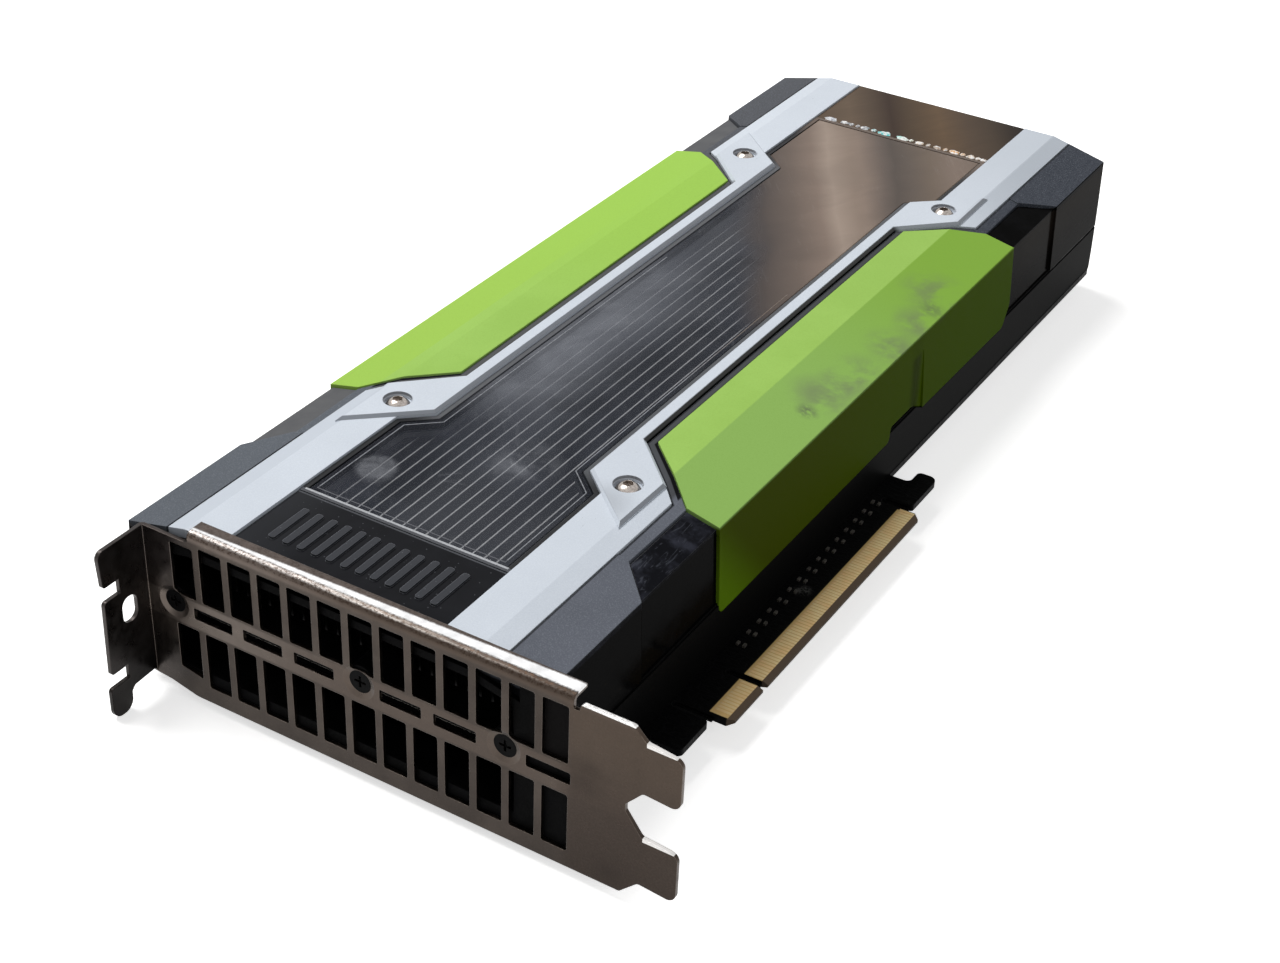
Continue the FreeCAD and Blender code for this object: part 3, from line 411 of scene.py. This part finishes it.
def gloss_black():
    f = Finish("gloss_black", Specular_IOR_Level=0.004)
    x, y, z = f.xyz
    haze = f.noise(0.16, 4.0, 0.65)
    scratches = f.noise(0.9, 3.0, 0.7, 1.5, f.stretched(0.12)).fit(0.6, 0.68)
    dust = f.cells(0.55).fall(0.05, 0.14) * f.noise(0.2).fit(0.5, 0.6)
    slope = z.fit(33.9, 34.3)
    near = y < 100.0
    f.base = f.mix(haze.fit(0.4, 0.7), rgb(9, 9, 9), rgb(16, 16, 17))
    # Painted reflections: bluish on the near slope, and brown on the side towards the tail
    f.lay(slope * haze.fit(0.42, 0.7, 0.15, 0.85) * near, rgb(54, 56, 66))
    f.lay(y.fit(200.0, 225.0) * z.fit(20.0, 34.0, 0.1, 0.8) * (1.0 - slope), rgb(44, 38, 33))
    f.lay((scratches * 0.3 + dust * 0.5) * slope * near, rgb(96, 100, 110))
    # Painted reflection: the left slope light grey
    f.lay((x < MID_X) * slope, f.mix(haze.fit(0.3, 0.7), rgb(96, 97, 100), rgb(103, 104, 106)))
    # Painted highlight along the edges
    f.lay(f.edge_band(0.3) * 0.3 * (z > 33.5) * near, rgb(150, 152, 156))
    rough = haze.fit(0.35, 0.8, 0.1, 0.28)
    return f.done(Roughness=rough, Normal=f.bump(scratches, 0.003, f.soft_edges(0.3)))


def cover_green():
    f = Finish("cover_green", Specular_IOR_Level=0.004)
    x, y, z = f.xyz
    fine = f.noise(3.0, 3.0, 0.7)
    on_right = x > MID_X
    f.base = f.mix(f.noise(0.05, 3.0, 0.6).fit(0.3, 0.7), rgb(160, 201, 100), rgb(166, 207, 106))
    f.lay((x < 6.6) * 0.9, rgb(166, 207, 92))
    f.lay((1.0 - on_right) * y.fit(90.0, 170.0) * 0.9, rgb(166, 211, 94))
    # Right slope a little darker, as painted shade
    slope = on_right * x.fit(SLOPE_X + 0.1, SLOPE_X + 0.5)
    f.lay(slope, f.mix(y.fit(110.0, 190.0), rgb(151, 192, 102), rgb(141, 185, 75)))
    f.lay(fine.fit(0.4, 0.8, 0.0, 0.22), rgb(126, 164, 72))
    # Right side painted dark as shade, lighter towards the front, with a painted shaded band where it has
    # its notch
    low = z.fall(34.6, 35.3)
    side = f.mix(y.fit(80.0, 200.0), rgb(76, 90, 14), rgb(80, 106, 10))
    side = f.mix((y + z * 0.9).fit(80.0, 100.0, 0.75, 0.0), side, rgb(116, 158, 26))
    f.lay(low * on_right, side)
    shaded = y.band(150.4, 153.6, 155.2, 158.4) * z.fit(29.5, 31.5, 1.0, 0.2)
    f.lay(low * shaded * 0.6, rgb(38, 46, 14))
    # Worn smears on the right slope: two darker clusters with a fainter trail between them
    patch = f.noise(0.16, 4.0, 0.6, 0.2, f.turned(28.0, 0.6)).fit(0.36, 0.62)
    first = f.spot(85.2, 117.0, 36.8, 1.0, 9.0) + f.spot(86.6, 125.0, 36.5, 1.0, 7.0)
    second = f.spot(87.0, 173.0, 36.2, 1.0, 12.0) + f.spot(89.0, 159.0, 35.8, 1.0, 9.0)
    trail = f.spot(88.4, 132.0, 36.0, 1.0, 9.0) * 0.7 + f.spot(88.8, 146.0, 36.0, 1.0, 9.0)
    scuff = ((first + second + trail).least(1.0) * patch * (z > 35.0)).least(1.0)
    f.lay(scuff * 0.6, rgb(122, 126, 108))
    core = f.spot(85.7, 109.8, 36.6, 0.4, 3.4) + f.spot(88.4, 167.0, 36.2, 0.6, 4.6) * 0.7
    f.lay(core.least(1.0) * f.noise(0.45, 4.0, 0.7).fit(0.34, 0.56) * 0.6, rgb(92, 84, 92))
    return f.done(Roughness=scuff.fit(0.0, 1.0, 0.42, 0.55), Normal=f.bump(fine, 0.008, f.soft_edges(0.35)))


def rail_silver():
    f = Finish("rail_silver", Specular_IOR_Level=0.3)
    x, y, z = f.xyz
    fleck = f.noise(3.2, 2.0, 0.8)
    f.base = f.mix(f.noise(0.04, 3.0, 0.6).fit(0.3, 0.7), rgb(213, 221, 231), rgb(219, 227, 237))
    f.lay(fleck.fit(0.35, 0.75, 0.4, 0.0), rgb(194, 202, 214))
    f.lay(f.cells(2.4).fall(0.1, 0.26) * 0.25, rgb(240, 244, 250))
    # Painted shade towards the tail on the right rail and by the bracket on the left one, and a darker spot
    f.lay(y.fit(190.0, 262.0) * (x > SLOPE_X) * 0.95, rgb(172, 180, 190))
    f.lay(y.fit(200.0, 262.0) * (x > MID_X) * 0.6, rgb(188, 196, 206))
    f.lay(x.fit(10.1, 10.4, 0.9, 0.0) * y.fall(60.0, 80.0), rgb(196, 204, 215))
    f.lay(f.spot(70.0, 52.0, 39.5, 2.0, 10.0) * (z > 39.3) * 0.7, rgb(172, 178, 186))
    # Painted shade on bevels that face the bracket, and on the low strip beside the ribbon, near black on
    # the right
    facing = f.add("ShaderNodeNewGeometry", out="Normal")
    toward = f.vector("DOT_PRODUCT", [facing, (0.6, -0.8, 0.0)], "Value")
    f.lay(toward.fit(0.2, 0.4) * (z > 38.85) * 0.9, rgb(134, 139, 147))
    between_ears = y.band(76.0, 77.5, 193.0, 194.5) * (z < 39.4)
    f.lay((x - MID_X - RAIL_HALF).fit(-0.75, -0.6) * between_ears, rgb(3, 3, 3))
    f.lay((MID_X - RAIL_HALF - x).fit(-0.75, -0.6) * between_ears * 0.9, rgb(98, 101, 106))
    marks = f.noise(0.5, 5.0, 0.75, 2.0, f.stretched(0.4)).fit(0.69, 0.72)
    f.lay(marks * 0.5, rgb(92, 92, 96))
    f.lay(f.edge_band(0.25) * 0.25, rgb(150, 158, 170))
    return f.done(Roughness=fleck.fit(0.3, 0.7, 0.34, 0.48), Normal=f.bump(fleck, 0.01, f.soft_edges(0.25)))


def screw_steel():
    f = Finish("screw_steel", Metallic=1.0, Roughness=0.24)
    z = f.xyz[2]
    grain = f.noise(2.0, 3.0, 0.6)
    f.base = f.mix(grain.fit(0.3, 0.7), rgb(150, 142, 136), rgb(186, 178, 172))
    f.lay(z.fit(38.4, 38.9, 0.85, 0.0), rgb(74, 58, 46))
    return f.done(Normal=f.bump(grain, 0.006, f.soft_edges(0.15)))


def frame_black():
    f = Finish("frame_black", Specular_IOR_Level=0.15, Roughness=0.4)
    x, y, _ = f.xyz
    grain = f.noise(2.5, 2.0)
    f.base = f.mix(grain, rgb(18, 19, 21), rgb(30, 31, 34))
    narrow = y.band(57.0, 63.0, 207.0, 213.0)
    f.lay(narrow * 0.9, f.mix(x > MID_X, rgb(96, 98, 102), rgb(86, 89, 93)))
    f.lay(y.fit(25.9, 26.0, 0.8, 0.0), rgb(82, 84, 90))
    # Painted brown reflection towards the far end, and a painted highlight along the edges
    f.lay(y.fit(228.0, 241.0) * 0.85, rgb(112, 98, 88))
    f.lay(f.edge_band(0.2) * 0.3, rgb(120, 124, 132))
    return f.done(Normal=f.bump(grain, 0.01, f.soft_edges(0.2)))


# Painted reflections in the window: soft brown bands along the slant over its far part, navy bands along X
# over its near part
BROWN_REFLECTION_BANDS = [(114, (80, 74, 72)), (122, (85, 77, 74)), (130, (115, 102, 94)), (136, (140, 123, 112)),
               (140, (169, 152, 139)), (145.5, (151, 134, 121)), (148, (147, 130, 118)),
               (153, (112, 100, 93)), (156, (93, 84, 78)), (160, (105, 94, 86)), (165, (119, 105, 93)),
               (172, (136, 120, 109)), (184, (122, 108, 98))]
NAVY_REFLECTION_BANDS = [(18, (72, 75, 84)), (24, (75, 78, 88)), (31, (80, 84, 94)), (38, (85, 89, 99)),
              (44, (95, 99, 109)), (51, (90, 94, 104)), (57, (83, 87, 98)), (63, (83, 87, 97)),
              (69, (78, 82, 92))]


def window_glass():
    f = Finish("window_glass", Specular_IOR_Level=0.05, IOR=1.45)
    x, y, _ = f.xyz
    slant = f.slant()
    wave = f.noise(0.04, 2.0).fit(0.3, 0.7, -1.6, 1.6)
    far = (slant + wave).fit(113.0, 124.0)
    haze = f.noise(0.1, 3.0, 0.6, 0.4, f.turned(30.0, 0.4))
    brown_reflection = f.ramp(slant + wave * 0.5, BROWN_REFLECTION_BANDS)
    brown_reflection = f.mix(haze.fit(0.35, 0.65, 0.0, 0.14), brown_reflection, rgb(84, 76, 70))
    # Navy near part, all painted reflection: dark patches, a pale sheen, lighter and darker fields, and a
    # pale edge before the brown part
    patch = f.noise(0.045, 3.0, 0.6, 0.5)
    navy_reflection = f.mix(patch.fit(0.35, 0.65, 0.5, 0.0), f.ramp(x + wave, NAVY_REFLECTION_BANDS), rgb(46, 49, 56))
    pale_sheen = x.fall(30.0, 50.0) * y.fit(60.0, 88.0) * y.fit(124.0, 165.0, 1.0, 0.25) * (1.0 - far)
    navy_reflection = f.mix(pale_sheen * haze.fit(0.3, 0.7, 0.5, 1.0), navy_reflection, rgb(150, 154, 163))
    navy_reflection = f.mix(x.fit(34.0, 42.0) * y.fit(36.0, 60.0, 0.35, 0.0), navy_reflection, rgb(118, 121, 129))
    navy_reflection = f.mix(x.fit(36.0, 46.0) * y.fit(66.0, 96.0, 0.0, 0.15), navy_reflection, rgb(46, 49, 56))
    before = slant.band(96.0, 108.0, 113.0, 118.0)
    navy_reflection = f.mix(before * haze.fit(0.4, 0.7, 0.0, 0.5), navy_reflection, rgb(108, 110, 116))
    # Marks of use: smears, dust, two touched places, fine scratches, and lint along the sides
    smear = f.noise(0.09, 4.0, 0.65, 1.0, f.turned(-25.0, 0.5)).fit(0.5, 0.7)
    hair = f.noise(1.6, 4.0, 0.7, 0.6, f.turned(-38.0, 0.1)).fit(0.5, 0.75)
    dust = f.cells(0.7).fall(0.04, 0.1) * f.noise(0.12, 3.0).fit(0.45, 0.6)
    oval = f.spot(26.2, 39.6, GLASS_TOP, 3.2, 5.0) * f.noise(0.5, 4.0, 0.7).fit(0.3, 0.6, 0.45, 1.0)
    touched = f.spot(49.5, 58.0, GLASS_TOP, 1.0, 10.0) * f.noise(0.16, 3.0, 0.6).fit(0.35, 0.65)
    lint = f.noise(1.3, 4.0, 0.75).fit(0.6, 0.68) * y.band(74.0, 82.0, 116.0, 128.0)
    lint = lint * ((abs(x - 22.6) < 0.9) + (abs(x - 64.2) < 0.7))
    fine = f.scratch((38.0, 44.0), (41.5, 47.5), 0.14) + f.scratch((40.0, 43.0), (44.5, 44.5), 0.12)
    marks = smear * hair * 0.45 + dust * 0.25 + oval * 0.65 + touched * 0.75 + fine * 0.6 + lint
    marks = marks.least(1.0)
    f.base = f.mix(far, navy_reflection, brown_reflection)
    f.lay(marks * (1.0 - far * 0.8), rgb(150, 153, 160))
    cover = (far * 0.6 + marks * 0.3 + pale_sheen * 0.2 + 0.31).least(1.0)
    rough = marks.fit(0.0, 1.0, 0.08, 0.4)
    return f.done(Alpha=cover, Roughness=rough, Normal=f.bump(marks, 0.004, f.soft_edges(0.2)))


def glass_edge():
    f = Finish("glass_edge", Specular_IOR_Level=0.1, Roughness=0.3)
    x, y, _ = f.xyz
    crumb = f.noise(1.2, 4.0, 0.7)
    # Painted highlights: a bright rim at the front, lighter lines along the sides
    sides = f.mix(x > MID_X, rgb(152, 155, 161), rgb(150, 153, 159))
    f.base = f.mix(y.fit(RIM_END_Y, 27.4), rgb(184, 187, 192), sides)
    f.lay(crumb.fit(0.35, 0.6, 0.5, 0.0) * y.fit(RIM_END_Y, 27.4, 0.4, 1.0), rgb(66, 68, 74))
    f.lay((y > 26.7) * (y < 28.0) * 0.9, rgb(88, 90, 96))
    # Painted brown reflection towards the far end
    f.lay(f.slant().fit(100.0, 122.0), rgb(116, 104, 95))
    return f.done(Normal=f.bump(crumb, 0.01))


def name_gloss():
    f = Finish("name_gloss", Specular_IOR_Level=0.02)
    x, y, z = f.xyz
    haze = f.noise(0.12, 4.0, 0.6)
    dust = f.cells(0.7).fall(0.05, 0.12)
    f.base = f.mix(haze, rgb(22, 22, 24), rgb(38, 39, 43))
    f.lay(x.fit(20.0, 34.0, 0.35, 0.0), rgb(64, 66, 70))
    f.lay(z.fit(38.3, 38.5) * 0.8, rgb(72, 74, 79))
    f.lay((y > 24.35) * 0.85, rgb(86, 88, 93))
    # Painted highlight along the edges, and dust
    f.lay((f.edge_band(0.25) * 0.6 + dust * 0.25).least(1.0), rgb(150, 154, 162))
    return f.done(Roughness=haze.fit(0.3, 0.8, 0.1, 0.26), Normal=f.bump(haze, 0.01, f.soft_edges(0.3)))


# Painted reflection in the tail plate: soft bands along the slant
TAIL_REFLECTION_BANDS = [(136, (94, 80, 66)), (147, (108, 92, 77)), (153, (88, 74, 62)), (158, (64, 50, 42)),
              (163, (84, 69, 54)), (171, (104, 84, 64)), (178, (88, 73, 60)), (184, (75, 63, 52)),
              (190, (48, 40, 34)), (197, (24, 20, 18))]


def tail_gloss():
    f = Finish("tail_gloss", Specular_IOR_Level=0.02)
    streak = f.noise(0.3, 3.0, 0.6, 0.5, f.turned(30.0, 0.2))
    f.base = f.ramp(f.slant(), TAIL_REFLECTION_BANDS)
    f.lay(streak.fit(0.35, 0.65, 0.0, 0.12), rgb(56, 48, 43))
    f.lay(f.xyz[2] < 37.8, rgb(14, 13, 13))
    return f.done(Roughness=streak.fit(0.3, 0.8, 0.1, 0.2), Normal=f.bump(streak, 0.01, f.soft_edges(0.3)))


# Painted glints: tones of the bright spots along the joint, along X
GLINT_TONES = [(20, (206, 212, 222)), (27, (160, 164, 170)), (33, (148, 152, 160)), (37.4, (100, 214, 214)),
             (40, (100, 222, 222)), (43.5, (200, 236, 226)), (48.6, (236, 216, 190)),
             (53.7, (186, 170, 154)), (58.5, (228, 166, 84)), (63.2, (226, 206, 186)),
             (68, (170, 150, 134))]


def dot_foil():
    f = Finish("dot_foil", Specular_IOR_Level=0.1, Roughness=0.25)
    crumb = f.noise(1.1, 3.0, 0.6)
    # Painted glints: white cores among coloured tones, broken by darker flecks
    f.base = f.mix(crumb.fit(0.4, 0.62), f.ramp(f.xyz[0], GLINT_TONES), rgb(252, 252, 252))
    f.lay(f.noise(1.7, 3.0, 0.6).fit(0.54, 0.66, 0.0, 0.7), rgb(96, 84, 74))
    return f.done(Normal=f.bump(crumb, 0.05))


def fin_alu():
    f = Finish("fin_alu", Specular_IOR_Level=0.1, Roughness=0.4)
    x, y, z = f.xyz
    brush = f.noise(1.5, 3.0, 0.6, 0.0, f.stretched(0.06))
    crest = f.mix(brush.fit(0.3, 0.7), rgb(232, 234, 238), rgb(250, 251, 253))
    # Twenty whole pitches are added so that the fraction is taken of a positive number
    off_middle = abs(((x - MID_X) / FIN_PITCH + 20.0).math("FRACT") - 0.5) * FIN_PITCH
    # Painted highlight on the crests
    crest_highlight = z.fit(FIN_CREST, 34.47) * y.fit(24.8, 25.4) * off_middle.fall(0.12, 0.2)
    # Painted shade: the fins dark below the crest, near black towards the bracket
    inside = y.fit(10.4, 12.0)
    f.base = f.mix(inside, rgb(2, 2, 2), rgb(30, 32, 37))
    f.lay(crest_highlight, crest)
    return f.done(Metallic=inside * 0.3, Normal=f.bump(brush, 0.01))


def plain(name, dark, light, scale, depth, edge, **constants):
    """A finish of two close tones with a fine grain: castings, chips, pads and other inner pieces."""
    f = Finish(name, **constants)
    grain = f.noise(scale, 3.0, 0.65)
    f.base = f.mix(grain.fit(0.3, 0.7), rgb(*dark), rgb(*light))
    return f.done(Normal=f.bump(grain, depth, f.soft_edges(edge)))


# Plain finishes: dark and light tone, scale and depth of the grain, edge radius, and what the shader gets
PLAIN = {
    "cast_black": ((4, 4, 4), (11, 11, 11), 2.4, 0.02, 0.2, dict(Roughness=0.45, Specular_IOR_Level=0.01)),
    "spreader_metal": ((150, 146, 141), (178, 174, 168), 1.2, 0.01, 0.2, dict(Metallic=0.9, Roughness=0.4)),
    "package_green": ((20, 48, 40), (30, 62, 50), 2.0, 0.01, 0.2, dict(Roughness=0.4)),
    "die_dark": ((46, 46, 52), (66, 66, 74), 0.4, 0.002, 0.2, dict(Metallic=0.5, Roughness=0.12)),
    "memory_dark": ((40, 40, 43), (54, 54, 58), 3.0, 0.01, 0.2, dict(Roughness=0.5)),
    "paste_grey": ((160, 160, 158), (188, 188, 186), 1.5, 0.04, 0.2, dict(Roughness=0.7)),
    "choke_grey": ((60, 60, 62), (86, 86, 88), 3.5, 0.03, 0.2, dict(Roughness=0.6)),
    "pad_grey": ((150, 156, 172), (172, 178, 192), 2.0, 0.04, 0.2, dict(Roughness=0.85)),
    "chip_black": ((24, 24, 25), (38, 38, 40), 3.0, 0.015, 0.2, dict(Roughness=0.5)),
    "can_alu": ((186, 187, 190), (208, 209, 212), 1.2, 0.008, 0.2, dict(Metallic=0.9, Roughness=0.3)),
    "small_ceramic": ((34, 32, 30), (84, 80, 74), 1.6, 0.01, 0.1, dict(Roughness=0.4)),
    "housing_black": ((14, 14, 15), (28, 28, 29), 2.4, 0.02, 0.2, dict(Roughness=0.5)),
    "pin_brass": ((196, 188, 166), (220, 212, 190), 1.5, 0.006, 0.08, dict(Metallic=0.9, Roughness=0.3)),
    "back_black": ((12, 12, 13), (24, 24, 25), 2.8, 0.02, 0.2, dict(Roughness=0.5)),
    "brace_steel": ((150, 150, 150), (176, 176, 175), 1.6, 0.01, 0.2, dict(Metallic=1.0, Roughness=0.36)),
}
MAKERS = (nickel_steel, black_screw, frame_plastic, board_mask, contact_gold, grey_shell, gloss_black,
          cover_green, rail_silver, screw_steel, frame_black, window_glass, glass_edge, name_gloss,
          tail_gloss, dot_foil, fin_alu)
finishes = {make.__name__: make() for make in MAKERS}
for name, (*look, constants) in PLAIN.items():
    finishes[name] = plain(name, *look, **constants)

for entry in frame["record"]["subparts"]:
    mesh = frame["nodes"][entry["node"]].data
    mesh.materials.clear()
    mesh.materials.append(finishes[entry["material_slot"]])


# Fine pieces on the card: two lines of painted highlight on the window, beads with painted glints along the
# tail's joint, and strips of painted shade in the slots
def piece(name, finish, build):
    """Makes one visible piece from mesh code and fixes it to the card."""
    bm = bmesh.new()
    build(bm)
    bmesh.ops.recalc_face_normals(bm, faces=bm.faces)
    mesh = bpy.data.meshes.new(name)
    bm.to_mesh(mesh)
    bm.free()
    mesh.materials.append(finishes[finish])
    item = bpy.data.objects.new(name, mesh)
    bpy.context.scene.collection.objects.link(item)
    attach(item, "root")


# Cross-section of a strip, as shares of its width and height
STRIP_PROFILE = ((-0.5, 0.0), (-0.42, 0.7), (-0.2, 1.0), (0.2, 1.0), (0.42, 0.7), (0.5, 0.0))


def strip(bm, places, width, low, high):
    """Adds a thin bar with a rounded top along an open path of the top view, in mm."""
    spots = [Vector(place) for place in places]
    ways = [(after - before).normalized() for before, after in zip(spots, spots[1:])]
    rows = []
    for i, here in enumerate(spots):
        meeting = ways[max(i - 1, 0):i + 1]
        way = sum(meeting, Vector((0.0, 0.0))).normalized()
        across = Vector((-way.y, way.x))
        stretch = 1 / max(0.4, abs(way.dot(meeting[0])))
        row = []
        for step, lift in STRIP_PROFILE:
            spot = here + across * (width * step * stretch)
            row.append(bm.verts.new(at(spot.x, spot.y, low + (high - low) * lift)))
        rows.append(row)
    corners = len(STRIP_PROFILE)
    for first, second in zip(rows, rows[1:]):
        for k in range(corners):
            j = (k + 1) % corners
            bm.faces.new((first[k], first[j], second[j], second[k]))
    bm.faces.new(rows[0])
    bm.faces.new(reversed(rows[-1]))


def front_line(bm):
    """Rim along the front edge of the window, bright with a painted highlight."""
    strip(bm, [(19.6, 25.85), (67.2, 25.85)], width=0.62, low=GLASS_TOP, high=38.42)


def inner_line(bm):
    """Thin line a little inside the sides and the front of the window's near part."""
    inset = 2.55
    wide, narrow = GLASS_HALF - inset, GLASS_HALF_NARROW - inset
    slip = inset * 0.4
    right = [(narrow, 150.0), (narrow, 61.8 - slip), (wide, 56.3 - slip), (wide, 27.3)]
    left = [(-x, y) for x, y in reversed(right)]
    strip(bm, [(MID_X + x, y) for x, y in right + left], width=0.24, low=38.29, high=38.34)


# Beads along the joint of the window and the tail plate, which carry painted glints: place along X and half
# width
BEADS = [(22.4, 2.0), (26.4, 1.0), (28.6, 0.7), (30.5, 0.6), (32.6, 1.3), (35.2, 0.8), (38.5, 1.9),
         (43.5, 1.9), (46.2, 0.6), (48.6, 1.4), (51.0, 0.7), (53.7, 1.1), (56.0, 0.7), (58.5, 1.5),
         (61.0, 0.7), (63.2, 1.2), (65.4, 0.8), (66.9, 0.9)]
BEAD_SIDES = 14
BEAD_SHOULDER = 38.48
BEAD_TOP = 38.53


def glints(bm):
    """Small uneven beads in a row, which carry painted glints."""
    chance = random.Random(7)
    for x, half in BEADS:
        deep = 0.6 + 0.4 * half
        spots = []
        for k in range(BEAD_SIDES):
            turn = k / BEAD_SIDES * math.tau
            reach = 0.72 + chance.random() * 0.45
            spots.append((math.cos(turn) * half * reach, math.sin(turn) * deep * reach))
        outer = [bm.verts.new(at(x + u, TAIL_JOINT_Y + v, GLASS_TOP)) for u, v in spots]
        inner = [bm.verts.new(at(x + u * 0.7, TAIL_JOINT_Y + v * 0.7, BEAD_SHOULDER)) for u, v in spots]
        top = bm.verts.new(at(x, TAIL_JOINT_Y, BEAD_TOP))
        for k in range(BEAD_SIDES):
            j = (k + 1) % BEAD_SIDES
            bm.faces.new((outer[k], outer[j], inner[j], inner[k]))
            bm.faces.new((inner[k], inner[j], top))
        bm.faces.new(reversed(outer))


# Far walls of the board's three slots: where each starts and ends along X, and its place along Y
SLOT_WALLS = ((92.8, 101.2, 46.4), (96.7, 104.0, 60.85), (95.6, 101.6, 134.4))
SHADE_STRIP_WIDTH = 0.6


def slot_shade(bm):
    """Dark strip of painted shade along the foot of the far wall of each slot."""
    for first, last, wall in SLOT_WALLS:
        middle = wall - SHADE_STRIP_WIDTH / 2
        strip(bm, [(first, middle), (last, middle)], SHADE_STRIP_WIDTH, low=3.52, high=4.3)


piece("window_front_line", "glass_edge", front_line)
piece("window_inner_line", "glass_edge", inner_line)
piece("joint_glints", "dot_foil", glints)
piece("slot_shade", "board_mask", slot_shade)

# Studio, in metres and watts
FLOOR_HALF = 6.0
SKY_LIGHT = 0.16  # strength of the world as light on things; where it shows it is 1
LAMPS = [
    # name, place, size, power, colour
    ("key_lamp", (-0.62, 0.02, 1.15), 0.8, 14.5, (1.0, 0.99, 0.975)),
    ("fill_lamp", (0.75, -0.35, 0.55), 0.5, 1.5, (1.0, 1.0, 1.0)),
]
LAMP_AIM = Vector((0, 0, 0.02))
CAMERA_ANGLES = (29.997, 33.413, 2.492)  # turn, lift and roll in degrees
CAMERA_PLACE = Vector((0.18957, -0.36667, 0.27118))
CAMERA_LENS = 59.76


def grey(value):
    return (value, value, value, 1.0)


def lay_floor():
    """Pale floor that keeps the card's shadow and shows as white."""
    mesh = bpy.data.meshes.new("floor")
    size = FLOOR_HALF
    corners = [(-size, -size, 0), (size, -size, 0), (size, size, 0), (-size, size, 0)]
    mesh.from_pydata(corners, [], [(0, 1, 2, 3)])
    floor = bpy.data.objects.new("floor", mesh)
    bpy.context.scene.collection.objects.link(floor)
    f = Finish("floor_white", Roughness=0.8, Specular_IOR_Level=0.1, Emission_Strength=1.0)
    seen = f.seen()
    white = f.mix(f.noise(0.01, 2.0) * 0.3, grey(1.0), grey(0.98))
    f.base = f.mix(seen, grey(0.15), white)
    mesh.materials.append(f.done(Emission_Color=f.mix(seen, grey(0.0), grey(0.62))))


def hang_world():
    """Weak even light from all around, which shows as white."""
    world = bpy.data.worlds.new("studio")
    bpy.context.scene.world = world
    world.use_nodes = True
    back = world.node_tree.nodes["Background"]
    back.inputs["Color"].default_value = grey(1.0)
    level = Tree(world.node_tree).seen().fit(0.0, 1.0, SKY_LIGHT, 1.0)
    world.node_tree.links.new(level.socket, back.inputs["Strength"])


def hang_lamp(name, place, size, power, colour):
    """Round soft lamp that faces the card."""
    data = bpy.data.lights.new(name, "AREA")
    data.shape = "DISK"
    data.size = size
    data.energy = power
    data.color = colour
    item = bpy.data.objects.new(name, data)
    item.location = place
    item.rotation_mode = "QUATERNION"
    item.rotation_quaternion = (LAMP_AIM - Vector(place)).to_track_quat("-Z", "Y")
    bpy.context.scene.collection.objects.link(item)


def set_camera():
    """Camera that sees the card as the photograph does."""
    camera = bpy.data.objects.new("camera", bpy.data.cameras.new("camera"))
    turn, lift, roll = (math.radians(v) for v in CAMERA_ANGLES)
    back = Vector((math.sin(turn) * math.cos(lift), -math.cos(turn) * math.cos(lift), math.sin(lift)))
    side = Vector((0, 0, 1)).cross(back).normalized()
    over = back.cross(side)
    across = math.cos(roll) * side + math.sin(roll) * over
    upward = math.cos(roll) * over - math.sin(roll) * side
    pose = Matrix((across, upward, back)).transposed().to_4x4()
    pose.translation = CAMERA_PLACE
    camera.matrix_world = pose
    camera.data.sensor_width = 36.0
    camera.data.lens = CAMERA_LENS
    camera.data.clip_start = 0.01
    bpy.context.scene.collection.objects.link(camera)
    bpy.context.scene.camera = camera


lay_floor()
hang_world()
for lamp in LAMPS:
    hang_lamp(*lamp)
set_camera()
bpy.context.scene.view_settings.view_transform = "Standard"
